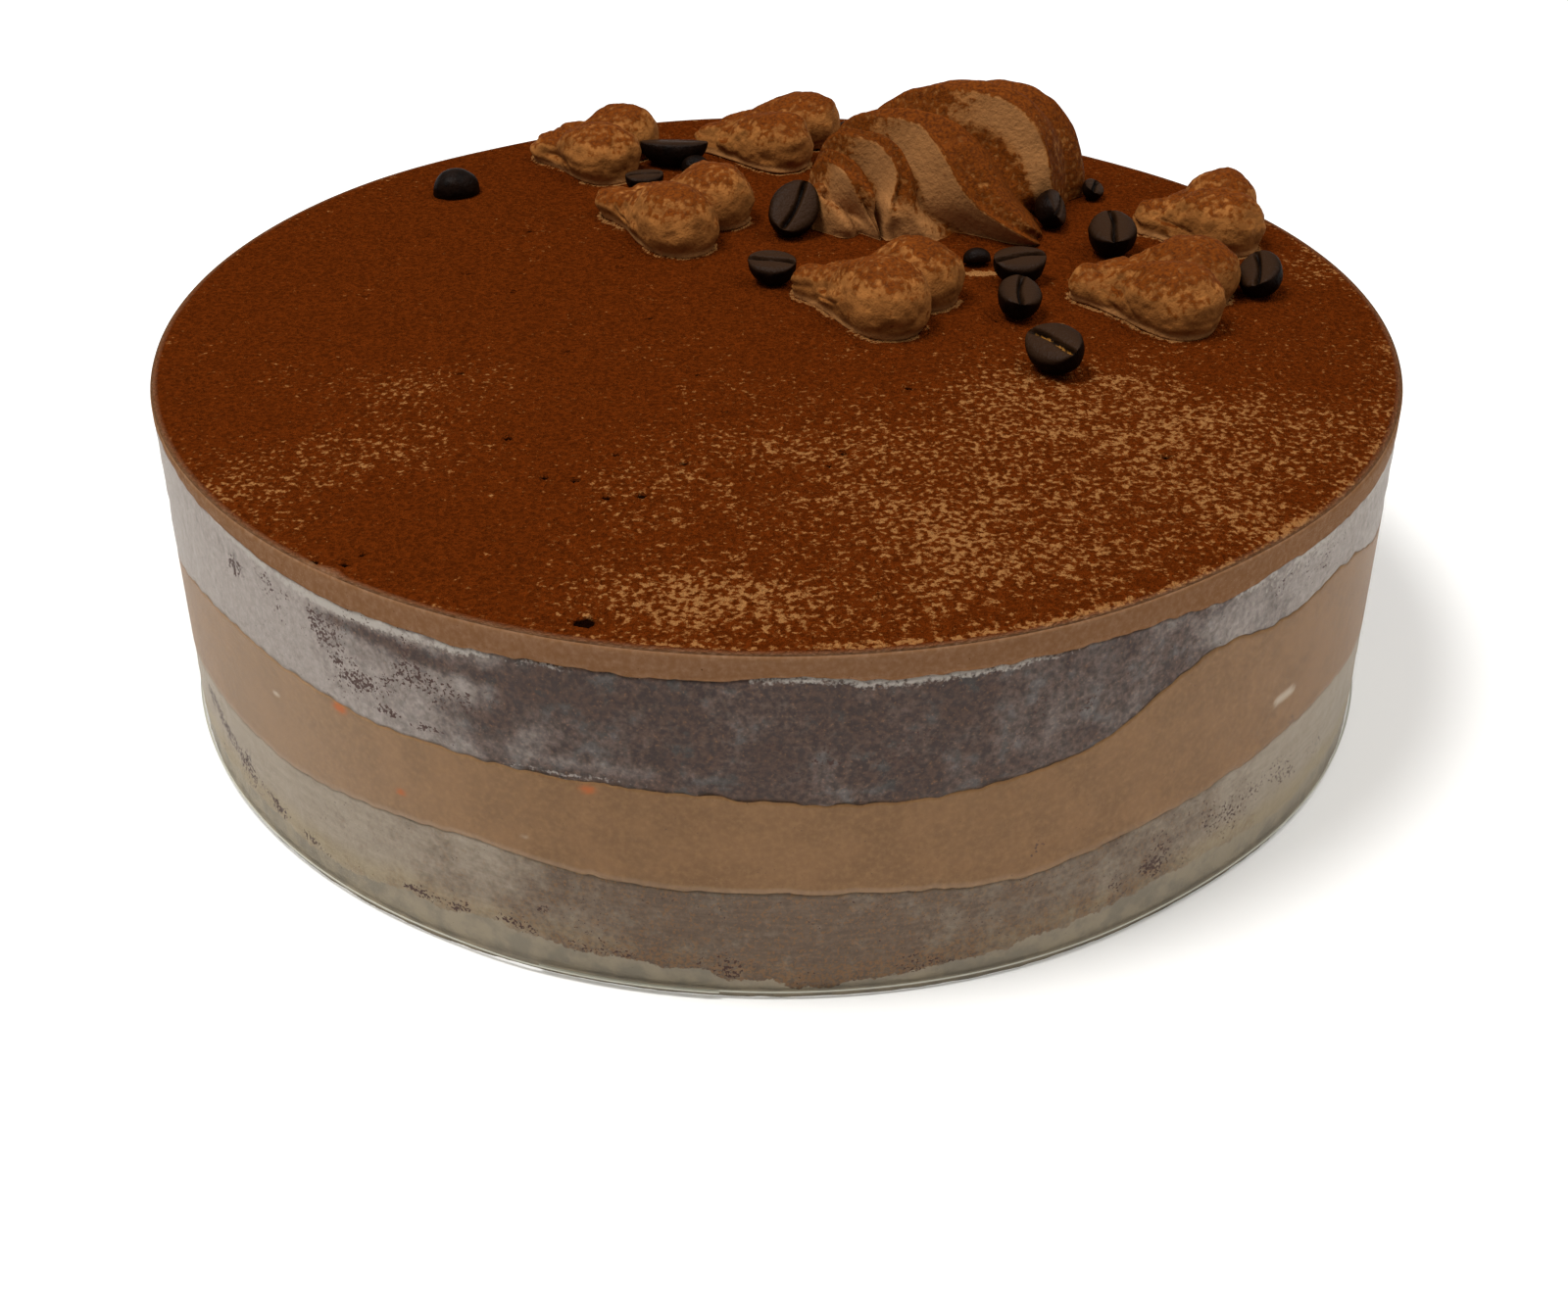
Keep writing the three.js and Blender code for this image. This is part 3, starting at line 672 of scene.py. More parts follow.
THIN_COVER = [
    (58, -56, 38, 34, 0.66), (86, -54, 16, 16, 0.1), (44, -26, 26, 18, 0.44), (26, -72, 18, 20, 0.32),
    (0, -92, 30, 12, 0.47), (-16, -86, 14, 8, 0.28), (0, -54, 26, 26, 0.36), (-60, -26, 13, 11, 0.48),
    (-76, -56, 13, 14, 0.4), (-58, -48, 10, 10, 0.3), (97, -18, 8, 20, 0.35), (94, 24, 9, 12, 0.5),
    (86, 50, 12, 10, 0.3), (-22, 99, 16, 5, 0.4), (24, 99, 14, 5, 0.5), (-86, 40, 12, 20, 0.12),
    (-40, -30, 30, 30, 0.1), (-18, -64, 20, 20, 0.16), (35.5, 20.0, 3.2, 1.0, 2.2),
]


# %% How thin the cocoa lies
def on_plane(x, y):
    return np.stack([x, y, 0 * x], -1)


def thin_cover(x, y):
    """How thinly the cocoa lies at a place on the top: 0 is a full cover, 1 lets half show."""
    flat = on_plane(x, y)
    thin = noise(flat, 11, 41, 2) * 0.16
    for where_x, where_y, wide, deep, much in THIN_COVER:
        thin += much * bump_at(x, where_x, wide) * bump_at(y, where_y, deep)
    from_rim = CAKE_RADIUS - np.hypot(x, y)
    way = np.degrees(np.arctan2(x, -y))
    band = 0.35 + 0.65 * bump_at(way, 18, 34) + noise(flat, 9, 44, 2) * 0.3
    thin += 0.6 * band * bump_at(from_rim, 1.6, 0.9)
    return np.where(from_rim < 0.75, -0.4, thin)


# %% Heights of the top
PULL, PULL_REACH = 0.7, 3.5


def pull_to_pits(x, y):
    """Draws the net together round each pit, so that so small a hole has points enough."""
    for where_x, where_y, _ in PITS:
        dx, dy = x - where_x, y - where_y
        share = np.clip(np.hypot(dx, dy) / PULL_REACH, 1e-6, 1)
        x, y = where_x + dx * share**PULL, where_y + dy * share**PULL
    return x, y


def top_height(x, y):
    """The dips and swells that the palette knife left, and the lumps."""
    flat = on_plane(x, y)
    height = noise(flat, 26, 42, 2) * 0.2 + noise(flat, 2.4, 43, 3) * 0.16
    for lump_x, lump_y, wide, high in LUMPS:
        height += high * bump_at(np.hypot(x - lump_x, y - lump_y), 0, wide)
    return height


def pit_depth(x, y):
    """1 in the middle of a pit, 0 outside it."""
    depth = 0 * x
    for where_x, where_y, wide in PITS:
        away = np.hypot((x - where_x) * 0.8, y - where_y)
        depth = np.maximum(depth, 1 - ramp(0.35 * wide, 0.75 * wide, away))
    return depth


# %% [markdown]
# ## Where the toppings stand
# Each piped heart is two lobes of cream, squeezed one after the other with their thin ends together.
# The large swirl is one long spiral of five folds. These places and sizes are the model's.

# %% Places of the toppings
HEARTS = [
    dict(x=-36.5, y=74.5, turn=-12, length=23, width=25, full=6.2, ends=0.5),
    dict(x=-4.0, y=81.0, turn=-8, length=24, width=25, full=6.2, ends=4),
    dict(x=-20.0, y=41.5, turn=-30, length=28, width=27, full=6.8, ends=-1),
    dict(x=15.0, y=6.5, turn=-25, length=27, width=26, full=6.8, ends=1),
    dict(x=62.5, y=6.5, turn=-20, length=27, width=26, full=6.6, ends=0),
    dict(x=76.0, y=38.5, turn=-8, length=23, width=23, full=6.2, ends=-0.5),
]
SWIRL_PLACE = (5.5, 42.0)
SWIRL_TURN = 22.4


def turned(points, degrees):
    """Turns points about the upright axis."""
    c, s = math.cos(math.radians(degrees)), math.sin(math.radians(degrees))
    x, y = points[..., 0], points[..., 1]
    return np.stack([x * c - y * s, x * s + y * c, points[..., 2]], -1)


# %% Balls of cream along a lobe
BALLS_IN_LOBE = 7
SIT = 0.6
BLEND = 0.5
THIN_END = 3.4
REAR_SHARE = 0.97
NEAR_HEART, ABOVE_FOOT = 26, 0.4


def lobe_balls(start, bend, end, full, slender):
    """A row of balls along a bent line, from the thin end of a lobe to its full one."""
    t = np.linspace(0, 1, BALLS_IN_LOBE)[:, None]
    middle = (1 - t) ** 2 * np.array(start) + 2 * t * (1 - t) * np.array(bend) + t**2 * np.array(end)
    radius = mix(THIN_END, full, ramp(slender, 0.95, t[:, 0]))
    return np.column_stack([middle, radius * SIT, radius])


def heart_balls(heart):
    """Both lobes; the rear one is a little smaller and bends further out."""
    reach, apart, full = heart["length"] / 2, heart["width"] / 2, heart["full"]
    rear = full * REAR_SHARE
    front_end, rear_end = (reach - full, full - apart), (reach - rear + heart["ends"], apart - rear)
    return np.concatenate([
        lobe_balls((THIN_END - reach, 0), (0, -apart * 0.2), front_end, full, 0.05),
        lobe_balls((THIN_END * 2 - reach, apart * 0.25), (0, apart * 0.6), rear_end, rear, 0.3),
    ])


def cream_distance(balls, points):
    """Distance from the skin that the balls make where they run together."""
    away = np.linalg.norm(points[..., None, :] - balls[:, :3], axis=-1) - balls[:, 3]
    return -BLEND * np.log(np.exp(-away / BLEND).sum(-1))


def foot_distance(x, y):
    """How far a place on the top is from the nearest piped heart."""
    nearest = np.full(np.shape(x), 99.0)
    for heart in HEARTS:
        place = on_plane(x - heart["x"], y - heart["y"]) + (0, 0, ABOVE_FOOT)
        near = np.hypot(place[..., 0], place[..., 1]) < NEAR_HEART
        found = cream_distance(heart_balls(heart), turned(place[near], -heart["turn"]))
        nearest[near] = np.minimum(nearest[near], found)
    return nearest


# %% The face of the top
RIM_ROUNDING = 0.6
PIT_DEPTH = 0.9
flat_x, flat_y = round_net()
reach = side_radius(np.degrees(np.arctan2(flat_x, -flat_y))) - RIM_ROUNDING
net_x, net_y = pull_to_pits(flat_x * reach, flat_y * reach)
pit = pit_depth(net_x, net_y)
edge_fade = 1 - ramp(0.985, 1.0, np.hypot(flat_x, flat_y))
rises = (top_height(net_x, net_y) - PIT_DEPTH * pit) * edge_fade
net_points = np.stack([net_x, net_y, CAKE_TOP + rises], -1).reshape(-1, 3)
print(f"top from {rises.min():.1f} to {rises.max():.1f} mm about its level")

# %% [markdown]
# The cream of a heart keeps the powder off a narrow, broken ring at its foot.

# %% Cocoa on the net
RING_WIDTH, RING_STRENGTH = 0.4, 1.7
cover = thin_cover(net_x, net_y)
broken = ramp(-0.7, -0.2, noise(on_plane(net_x, net_y), 5, 47))
ring = bump_at(foot_distance(net_x, net_y), RING_WIDTH, RING_WIDTH)
cover += RING_STRENGTH * ring * broken
print(f"cocoa lies thin on {(cover > 0.5).mean():.0%} of the net")

# %% The side and the underside
SIDE_ROWS = 6
RIM_CUT = 0.17
index = np.arange((NET + 1) ** 2).reshape(NET + 1, NET + 1)
rim = np.concatenate([index[:-1, 0], index[-1, :-1], index[:0:-1, -1], index[0, :0:-1]])
rim_angle = angle_of(net_points[rim])
rim_radius = side_radius(rim_angle)
joint = np.interp(rim_angle % 360, np.append(angles, 360), np.append(upper_top, upper_top[0]))
rings = [on_side(rim_angle, rim_radius - RIM_CUT, CAKE_TOP - RIM_CUT)]
for t in np.linspace(0, 1, SIDE_ROWS):
    rings.append(on_side(rim_angle, rim_radius, mix(CAKE_TOP - RIM_ROUNDING, joint, t)))
inside = mix(UPPER_LEVEL, joint, WAVE_LEFT_INSIDE)
rings.append(on_side(rim_angle, rim_radius * SETTLED, inside))
points = np.concatenate([net_points] + rings + [[[0, 0, UPPER_LEVEL]]])

# %% Build the top
corners = [index[:-1, :-1], index[1:, :-1], index[1:, 1:], index[:-1, 1:]]
faces = np.stack(corners, -1).reshape(-1, 4).tolist()
first = len(net_points)
loops = [rim] + [first + k * COLUMNS + np.arange(COLUMNS) for k in range(len(rings))]
for upper, lower in zip(loops, loops[1:]):
    faces += np.stack([upper, lower, np.roll(lower, -1), np.roll(upper, -1)], -1).tolist()
faces += [[int(a), len(points) - 1, int(b)] for a, b in zip(loops[-1], np.roll(loops[-1], -1))]
on_top = np.zeros(len(points))
on_top[:first] = 1
on_top[rim] = 0.5
below = np.zeros(len(points) - first)
thin = np.concatenate([cover.ravel(), below - 0.4])
# Painted shade for the pits, read by the cocoa finish
painted_pit_shade = np.concatenate([pit.ravel() * 0.8, below])
add_piece("dusted_top", points, faces, cocoa, ["top_mousse"],
          {"thin": thin, "side": 1 - on_top, "pit": painted_pit_shade})
print("top faces:", len(faces))


# %% [markdown]
# ## The piped hearts
# Rays go out from the middle of each foot to the skin of the cream, close together. That gives the
# two full lobes and the valley between them. Small folds where the nozzle stopped are pressed in
# along the rays.

# %% Skin of a heart
SPOKES = 168
RISES = np.radians(np.linspace(0, 84, 56))
STEPS_TO_SKIN = 60


def dome(balls):
    """Rays from the middle of the foot, and how far along each the skin lies."""
    round_way = np.linspace(0, 2 * np.pi, SPOKES, endpoint=False)
    rise, way = np.meshgrid(RISES, round_way, indexing="ij")
    rays = np.stack([np.cos(rise) * np.cos(way), np.cos(rise) * np.sin(way), np.sin(rise)], -1)
    rays = np.concatenate([rays.reshape(-1, 3), [[0, 0, 1]]])
    distance = np.full(len(rays), 30.0)
    for _ in range(STEPS_TO_SKIN):
        distance -= cream_distance(balls, rays * distance[:, None]) * 0.9
    return rays, np.maximum(distance, 0.5)


# %% Cocoa on the cream
def cream_dust(points, faces, seed):
    """Cocoa on what faces up, from the slope of the skin: 0 is bare, 1 is covered."""
    mesh = bpy.data.meshes.new("slope")
    mesh.from_pydata(points.tolist(), [], faces)
    normals = np.zeros(len(points) * 3)
    mesh.vertices.foreach_get("normal", normals)
    bpy.data.meshes.remove(mesh)
    upward = normals.reshape(-1, 3)[:, 2]
    return ramp(0.1, 1.05, upward) * 0.95 + noise(points, 3.5, seed, 2) * 0.22


# %% Build the hearts
SKIRT = 0.7
for number, heart in enumerate(HEARTS, 1):
    rays, distance = dome(heart_balls(heart))
    skin = rays * distance[:, None]
    tail = 1 - ramp(-heart["length"] * 0.45, heart["length"] * 0.15, skin[:, 0])
    folds = noise(skin * (0.3, 1.0, 1.0), 3.2, 60 + number, 2) * (0.35 + 0.95 * tail)
    creases = 1 - np.abs(noise(skin * (0.5, 1.0, 1.0), 6.0, 65 + number)) * 4
    folds -= np.maximum(creases, 0) ** 2 * (0.25 + 0.45 * tail)
    folds += noise(skin, 5.0, 70 + number, 2) * 0.45 + noise(skin, 1.4, 80 + number, 3) * 0.2
    skirt = SKIRT * bump_at(skin[:, 2], 0, 0.5) * (0.75 + 0.4 * noise(skin, 6, 95 + number))
    distance = distance + folds * ramp(0.2, 2.5, skin[:, 2]) + np.maximum(skirt, 0)
    skin = turned(rays * distance[:, None], heart["turn"]) + (heart["x"], heart["y"], CAKE_TOP)
    faces = grid_faces(len(RISES), SPOKES, True).tolist()
    top, last = len(skin) - 1, (len(RISES) - 1) * SPOKES
    faces += [[top, last + i, last + (i + 1) % SPOKES] for i in range(SPOKES)]
    faces.append(list(range(SPOKES))[::-1])
    low = 1 - ramp(0.5, 1.6, skin[:, 2] - CAKE_TOP)
    dust = cream_dust(skin, faces, 90 + number) - low
    name = f"cream_heart_{number}"
    add_piece(f"piped_heart_{number}", skin, faces, cream, [name], {"dust": dust, "pale": low})
print("hearts:", len(HEARTS))

# %% [markdown]
# ## The large swirl
# One squeeze of the bag, laid as a spiral that grows to the right. Each turn rolls over the last,
# with a round dusted back and a steep bare face that ends in a sharp edge. The lines of the mesh
# follow the edges, so the edges stay crisp. At its nose, where the bag first touched down, a groove
# and two small curls are pressed into the same skin.

# %% Measures of the swirl
SWIRL_LENGTH, SWIRL_HEIGHT, SWIRL_HALF_DEPTH = 56.5, 22.8, 20.5
BODY_PLACES = [0, 0.06, 0.14, 0.3, 0.5, 0.68, 0.82, 0.92, 0.975, 1]
BODY_DEPTHS = [0.12, 0.38, 0.52, 0.8, 0.95, 0.86, 0.53, 0.36, 0.22, 0.08]
BODY_HEIGHTS = [0.14, 0.44, 0.63, 0.86, 0.98, 0.99, 0.85, 0.63, 0.37, 0.08]
EDGE_RISES = [0, 18, 42, 66, 90, 150, 180]
FOLDS = [
    dict(edge=[0, 0, 0, 0, 0, 0, 0], valley=0.6, depth=0, bare=2),
    dict(edge=[0.165, 0.135, 0.1, 0.085, 0.07, 0.04, 0.03], valley=0.76, depth=0.34, bare=0.8),
    dict(edge=[0.18, 0.187, 0.228, 0.205, 0.14, 0.08, 0.06], valley=0.68, depth=0.42, bare=0.76),
    dict(edge=[0.62, 0.44, 0.372, 0.335, 0.24, 0.13, 0.1], valley=0.52, depth=0.34, bare=0.6),
    dict(edge=[0.78, 0.76, 0.735, 0.65, 0.5, 0.26, 0.2], valley=0.62, depth=0.38, bare=0.8),
    dict(edge=[0.95, 0.95, 0.945, 0.93, 0.84, 0.56, 0.42], valley=0.6, depth=0.14, bare=2),
    dict(edge=[1, 1, 1, 1, 1, 1, 1], valley=0.6, depth=0.05, bare=2),
]
LIP_SHARE, LIP_STEP, BULGE_SHARE = 0.07, 0.22, 0.35
TAIL = dict(at=0.56, spread=0.12, start=0, width=24, reach=0.38)
HUMP = dict(at=0.1, spread=0.14, start=110, width=40, reach=0.2)
SWIRL_ROWS, SWIRL_ARC = 34, 150


# %% Shape of the swirl
def curve_through(places, values, place):
    """A smooth curve through a few values that stand at rising places."""
    x, y = np.array(places, float), np.array(values, float)
    before = np.r_[0, np.arange(len(x) - 1)]
    after = np.r_[np.arange(1, len(x)), len(x) - 1]
    slope = (y[after] - y[before]) / (x[after] - x[before])
    at = np.clip(place, x[0], x[-1])
    i = np.clip(np.searchsorted(x, at, side="right") - 1, 0, len(x) - 2)
    span = x[i + 1] - x[i]
    t = (at - x[i]) / span
    return ((2 * t**3 - 3 * t**2 + 1) * y[i] + (t**3 - 2 * t**2 + t) * span * slope[i]
            + (3 * t**2 - 2 * t**3) * y[i + 1] + (t**3 - t**2) * span * slope[i + 1])


def fold_cut(share, valley):
    """How deep the surface lies at a share of the way from one edge to the next, 0 to 1."""
    if share >= valley:
        return 1 - ((share - valley) / (1 - valley)) ** 1.4
    bulge = 1 - 0.75 * ramp(LIP_SHARE, BULGE_SHARE, share)
    lip = LIP_STEP * ramp(0.01, LIP_SHARE, share) * bulge
    return max(lip, np.clip((share - 0.15) / (valley - 0.15), 0, 1) ** 2)


def outward(place, along, rise):
    """How far the body stands out near one place on it, as a factor."""
    lengthwise = bump_at(along, place["at"], place["spread"])
    return 1 + place["reach"] * lengthwise * bump_at(rise, place["start"], place["width"])


def swirl_line(fold, before, share):
    """One line of the surface, from the front foot over the crown to the foot behind."""
    rise = np.linspace(0, 180, SWIRL_ARC)
    start = curve_through(EDGE_RISES, before["edge"], rise)
    along = mix(start, curve_through(EDGE_RISES, fold["edge"], rise), share)
    cut = fold["depth"] * fold_cut(share, fold["valley"])
    depth = SWIRL_HALF_DEPTH * curve_through(BODY_PLACES, BODY_DEPTHS, along)
    height = SWIRL_HEIGHT * curve_through(BODY_PLACES, BODY_HEIGHTS, along)
    hump = outward(HUMP, along, rise)
    across = -depth * np.cos(np.radians(rise)) * outward(TAIL, along, rise) * hump * (1 - cut)
    up = height * np.sin(np.radians(rise)) * hump * (1 - cut)
    return np.stack([along * SWIRL_LENGTH, across, up], -1)


# %% Small curls at the nose of the swirl
CURLS = [
    dict(wide=1.4, rise=-3.2,
         path=[(3.0, -3.0, 7.8), (6.2, -7.1, 4.8), (9.5, -8.4, 2.3), (11.0, -9.8, 0.8)]),
    dict(wide=1.6, rise=1.7, path=[(4.2, -4.4, 9.6), (8.2, -8.2, 7.0), (12.0, -10.6, 4.2)]),
    dict(wide=2.1, rise=1.5, path=[(2.0, -4.6, 4.0), (4.5, -7.4, 1.8), (8.0, -9.4, 0.8)]),
]


def from_path(points, path):
    """Distance of each point from a line of straight pieces."""
    nearest = np.full(len(points), 99.0)
    for start, end in zip(np.array(path), np.array(path)[1:]):
        span = end - start
        share = np.clip((points - start) @ span / (span @ span), 0, 1)
        away = np.linalg.norm(points - start - share[:, None] * span, axis=1)
        nearest = np.minimum(nearest, away)
    return nearest


# %% Lines of the swirl
lines, bare = [], []
on_crown = ramp(66, 96, np.linspace(0, 180, SWIRL_ARC))
for before, fold in zip(FOLDS, FOLDS[1:]):
    for share in np.arange(SWIRL_ROWS) / SWIRL_ROWS:
        lines.append(swirl_line(fold, before, share))
        bare.append(ramp(fold["bare"] - 0.05, fold["bare"] + 0.04, share) * (1 - on_crown))
lines.append(swirl_line(FOLDS[-1], FOLDS[-2], 1.0))
bare.append(0 * on_crown)
skin = np.array(lines).reshape(-1, 3)
faces = grid_faces(len(lines), SWIRL_ARC, False)[:, ::-1].tolist()
index = np.arange(len(skin)).reshape(-1, SWIRL_ARC)
underside = np.append(index[:, 0], index[::-1, -1])
faces += [index[0, ::-1].tolist(), index[-1].tolist(), underside.tolist()]

# %% Torn skin and cocoa of the swirl
rough = noise(skin, 3.2, 71, 3) * 0.22 * ramp(0.3, 2.0, skin[:, 2])
for curl in CURLS:
    rough += curl["rise"] * bump_at(from_path(skin, curl["path"]), 0, curl["wide"])
away = skin - skin * (1, 0, 0)
away /= np.maximum(np.linalg.norm(away, axis=1, keepdims=True), 0.1)
body_place = skin[:, 0]
skin = turned(skin + away * rough[:, None], SWIRL_TURN) + (*SWIRL_PLACE, CAKE_TOP)
skin[:, 2] = np.maximum(skin[:, 2], CAKE_TOP)
bare = np.array(bare).ravel()
nose = (1 - ramp(3, 10, skin[:, 2] - CAKE_TOP)) * (1 - ramp(16, 26, body_place))
bare = np.maximum(bare, 0.8 * nose)
dust = (0.72 + 0.6 * cream_dust(skin, faces, 72)) * (1 - bare) - 0.15 * bare
add_piece("piped_swirl", skin, faces, cream, ["cream_swirl"], {"dust": dust, "pale": bare})
print("swirl faces:", len(faces))

# %% [markdown]
# ## The roasted beans
# A bean is half an oval: a round back and a flat face with one deep crease. Most lie on their backs
# with the crease showing. Each has its own seed, so no two creases are alike.

# %% Shape of a bean
BEAN_LENGTH, BEAN_WIDTH, BEAN_THICKNESS = 9.8, 8.0, 5.2
CREASE_WIDTH, CREASE_DEPTH = 0.9, 1.3
SHOULDER, CROWN = 0.9, 0.25
BEANS = [  # x, y, turn, lean, size and what is special
    (-60.4, 57.2, 20, 180, 0.9, {}),
    (-20.0, 73.0, -2, -14, 0.92, {"stretch": 1.42}),
    (-25.0, 58.0, 15, 0, 0.74, {}),
    (-15.7, 67.6, 12, 150, 0.56, {}),
    (3.2, 37.2, 60, 25, 1.1, {"nod": 35}),
    (-0.8, 15.2, -20, 12, 0.86, {}),
    (41.6, 15.8, 15, 12, 0.96, {}),
    (40.4, 2.2, 85, 6, 0.93, {"nod": 8}),
    (43.3, -19.1, -50, 28, 1.04, {"chaff": 1.0}),
    (59.1, 28.3, 92, -4, 1.07, {"stretch": 0.92, "nod": 12}),
    (81.3, 11.1, 82, -24, 0.95, {"nod": 15}),
    (51.2, 41.3, 77, 60, 0.86, {}),
    (59.6, 55.2, 70, 30, 0.52, {}),
    (14.6, 88.0, 30, 20, 0.5, {}),
    # The last bean is a dark thing set where shade lies under the swirl's tail, standing in for that
    # shade
    (35.0, 23.2, 5, 150, 0.5, {}),
]
BEAN_ROWS, BELLY, FACE = 44, 30, 33


def bean_mesh(size, stretch, seed):
    """Rings from end to end, with a mask for the flat face and one for its crease."""
    along = -np.cos(np.linspace(0.05, np.pi - 0.05, BEAN_ROWS))[:, None]
    breadth = np.sqrt(1 - along**2)
    half = BEAN_WIDTH / 2 * size * breadth
    shoulder = SHOULDER * size * breadth
    round_way = np.linspace(0, np.pi, BELLY)[None, :]
    belly_y = -half * np.cos(round_way)
    belly_z = -shoulder - (BEAN_THICKNESS * size * breadth**0.7 - shoulder) * np.sin(round_way) ** 0.8
    t = np.linspace(1, -1, FACE + 2)[None, 1:-1]
    face_y = half * np.sign(t) * np.abs(t) ** 0.85
    flat = (1 - np.abs(t) ** 3.5) ** 0.6
    wander = 0.3 * np.sin(2.4 * along + seed) * size
    crease_wide = CREASE_WIDTH / 2 * (0.75 + 0.35 * np.abs(along))
    crease = np.exp(-np.abs((face_y - wander) / crease_wide) ** 2.5) * np.clip(breadth * 1.4, 0, 1)
    face_z = shoulder * (flat - 1) + CROWN * size * flat * breadth - CREASE_DEPTH * size * crease
    ys, zs = np.concatenate([belly_y, face_y], 1), np.concatenate([belly_z, face_z], 1)
    ends = BEAN_LENGTH / 2 * size * stretch
    points = np.stack(np.broadcast_arrays(ends * along, ys, zs), -1).reshape(-1, 3)
    points = np.concatenate([points, [[-ends, 0, -0.5], [ends, 0, -0.5]]])
    points = points + points * (noise(points, 3.0, seed, 2) * 0.03)[:, None]
    count = BELLY + FACE
    faces = grid_faces(BEAN_ROWS, count, True)[:, ::-1].tolist()
    last = (BEAN_ROWS - 1) * count
    tip = len(points) - 2
    faces += [[tip, k, (k + 1) % count][::-1] for k in range(count)]
    faces += [[tip + 1, last + (k + 1) % count, last + k][::-1] for k in range(count)]
    belly = np.zeros((BEAN_ROWS, BELLY))
    masks = []
    for on_face in (np.broadcast_to(flat, crease.shape), crease):
        masks.append(np.append(np.concatenate([belly, on_face], 1).ravel(), [0, 0]))
    return points, faces, *masks


# %% Build the beans
BEAN_SINK = 0.1
USUAL_CHAFF = 0.3
for number, (x, y, turn, lean, size, special) in enumerate(BEANS, 1):
    points, faces, face_mask, crease_mask = bean_mesh(size, special.get("stretch", 1), number)
    leaning = Matrix.Rotation(math.radians(lean), 3, "X")
    nodding = Matrix.Rotation(-math.radians(special.get("nod", 0)), 3, "Y")
    points = turned(points @ np.array(nodding @ leaning).T, turn)
    rest = CAKE_TOP - BEAN_SINK - points[:, 2].min()
    points = points + (x, y, rest)
    chaff = crease_mask * special.get("chaff", USUAL_CHAFF)
    add_piece(f"roasted_bean_{number}", points, faces, bean_skin,
              [f"coffee_bean_{number}"], {"face": face_mask, "crease": crease_mask, "chaff": chaff})
print("beans:", len(BEANS))

# %% [markdown]
# ## The film collar
# One strip goes once round and laps over its own start. Its edges catch the light as a thin line,
# and a narrow band along the lower cut edge has its own duller finish, painted pale as a highlight.

# %% Build the film
FILM_THICKNESS, FILM_GAP, FILM_BOTTOM, FILM_TOP = 0.3, 0.08, 1.2, 57.0
FILM_SEAM, FILM_LAP, FILM_STEP = -4.6, 15, 0.5
CUT_LINE = 0.3
turns = np.arange(0, 360 + FILM_LAP + FILM_STEP / 2, FILM_STEP)
around = FILM_SEAM - FILM_LAP + turns
lift = (FILM_THICKNESS + FILM_GAP) * ramp(350, 360, turns)
inner = side_radius(around) + FILM_GAP + lift
outer = inner + FILM_THICKNESS
outline = [(inner, FILM_BOTTOM), (outer, FILM_BOTTOM), (outer, FILM_BOTTOM + CUT_LINE),
           (outer, FILM_TOP), (inner, FILM_TOP)]
points = np.stack([on_side(around, r, h) for r, h in outline], 1).reshape(-1, 3)
faces = grid_faces(len(turns), len(outline), True)[:, ::-1].tolist()
faces += [[0, 1, 2, 3, 4], [len(points) - k for k in (1, 2, 3, 4, 5)]]
collar = add_piece("acetate_collar", points, faces, film, ["film_collar"])
collar.data.materials.append(cut_edge_highlight)
for face in collar.data.polygons:
    face.use_smooth = False
    # The band at the lower cut edge takes the painted highlight
    face.material_index = int(face.center.z < (FILM_BOTTOM + CUT_LINE) * MM)
print("film faces:", len(faces))

# %% [markdown]
# ## Floor, light and camera
# The cake stands on a wide pale floor. Soft light falls from above on both sides, stronger from the
# left. The camera stands where the picture was taken: 32 degrees up, with the whole cake in view.

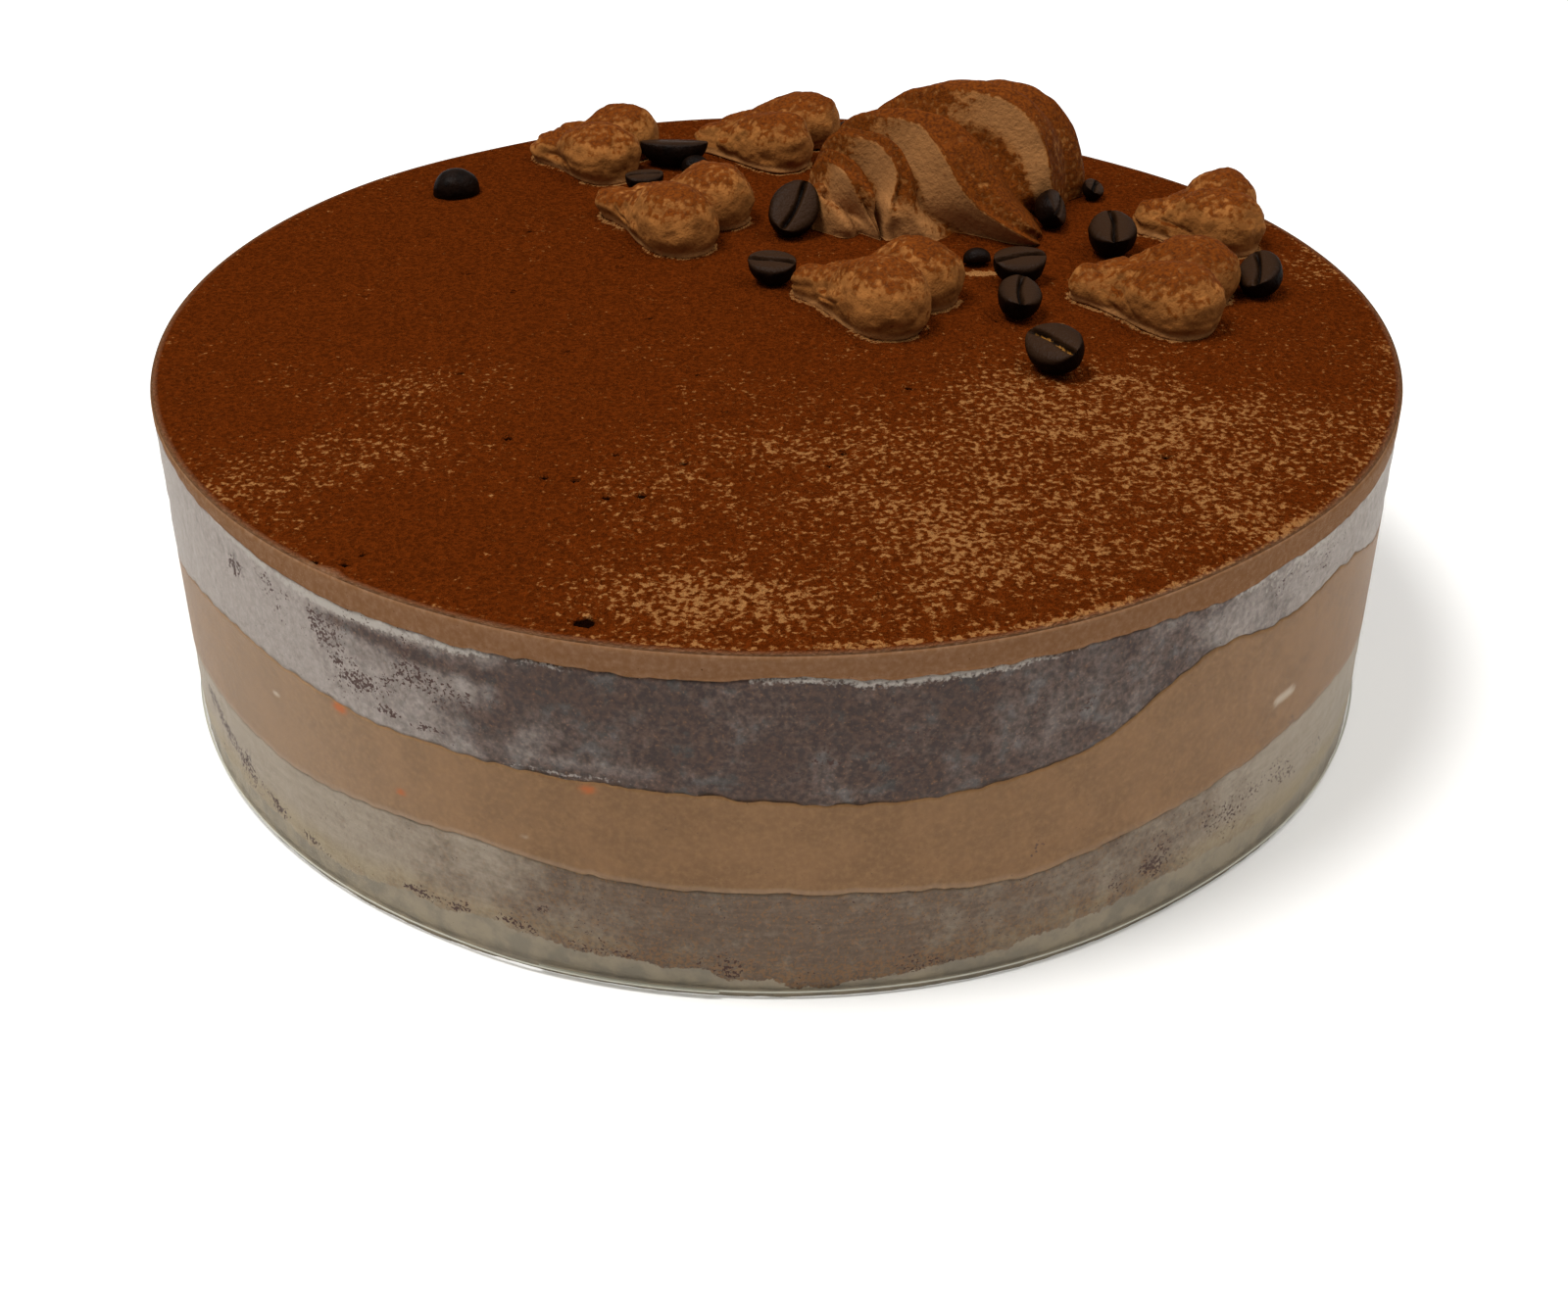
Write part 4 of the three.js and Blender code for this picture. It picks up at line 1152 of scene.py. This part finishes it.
# %% Floor
FLOOR_RADIUS, FLOOR_CORNERS = 4.0, 96
PAPER_WHITE = linear("#f4f3f0")
paper = new_material("pale_paper", Roughness=0.9, Base_Color=PAPER_WHITE)[0]
floor_mesh = bpy.data.meshes.new("floor")
rim_points = [(FLOOR_RADIUS * math.cos(a), FLOOR_RADIUS * math.sin(a), 0)
              for a in np.linspace(0, 2 * np.pi, FLOOR_CORNERS, endpoint=False)]
floor_mesh.from_pydata(rim_points, [], [list(range(FLOOR_CORNERS))])
floor_mesh.materials.append(paper)
floor = bpy.data.objects.new("floor", floor_mesh)
bpy.context.scene.collection.objects.link(floor)

# %% Lights
PANELS = {
    "key_panel": dict(place=(-0.3, -0.1, 0.9), size=0.4, power=9.0),
    "ceiling": dict(place=(0.45, 0.0, 0.95), size=0.7, power=5.5),
}
LIGHT_AIM = (0, 0, 0.04)
ROOM_LIGHT = 0.36
for name, panel in PANELS.items():
    data = bpy.data.lights.new(name, "AREA")
    data.shape = "DISK"
    data.size = panel["size"]
    data.energy = panel["power"]
    light = bpy.data.objects.new(name, data)
    light.location = panel["place"]
    way = Vector(LIGHT_AIM) - Vector(panel["place"])
    light.rotation_euler = way.to_track_quat("-Z", "Y").to_euler()
    bpy.context.scene.collection.objects.link(light)
world = bpy.data.worlds.new("studio")
bpy.context.scene.world = world
world.use_nodes = True
background = world.node_tree.nodes["Background"]
background.inputs["Color"].default_value = (1, 1, 1, 1)
background.inputs["Strength"].default_value = ROOM_LIGHT
bpy.context.scene.view_settings.view_transform = "Standard"
print("light panels:", len(PANELS))

# %% Camera
LENS_MM, SENSOR_MM = 48.32, 36.0
CAMERA_PLACE = Vector((0.0, -0.322151, 0.203682))
RIGHT = Vector((0.99999, -0.00268, 0.00193))
UP = Vector((-0.00014, 0.5504, 0.8349))
AHEAD = Vector((0.0033, 0.8349, -0.5504))
camera_data = bpy.data.cameras.new("camera")
camera_data.lens = LENS_MM
camera_data.sensor_width = SENSOR_MM
camera_data.clip_start = 0.01
camera = bpy.data.objects.new("camera", camera_data)
bpy.context.scene.collection.objects.link(camera)
basis = Matrix((RIGHT, UP, -AHEAD)).transposed().to_4x4()
camera.matrix_world = Matrix.Translation(CAMERA_PLACE) @ basis
bpy.context.scene.camera = camera
print(f"camera {CAMERA_PLACE.length / MM:.0f} mm from the foot of the cake")
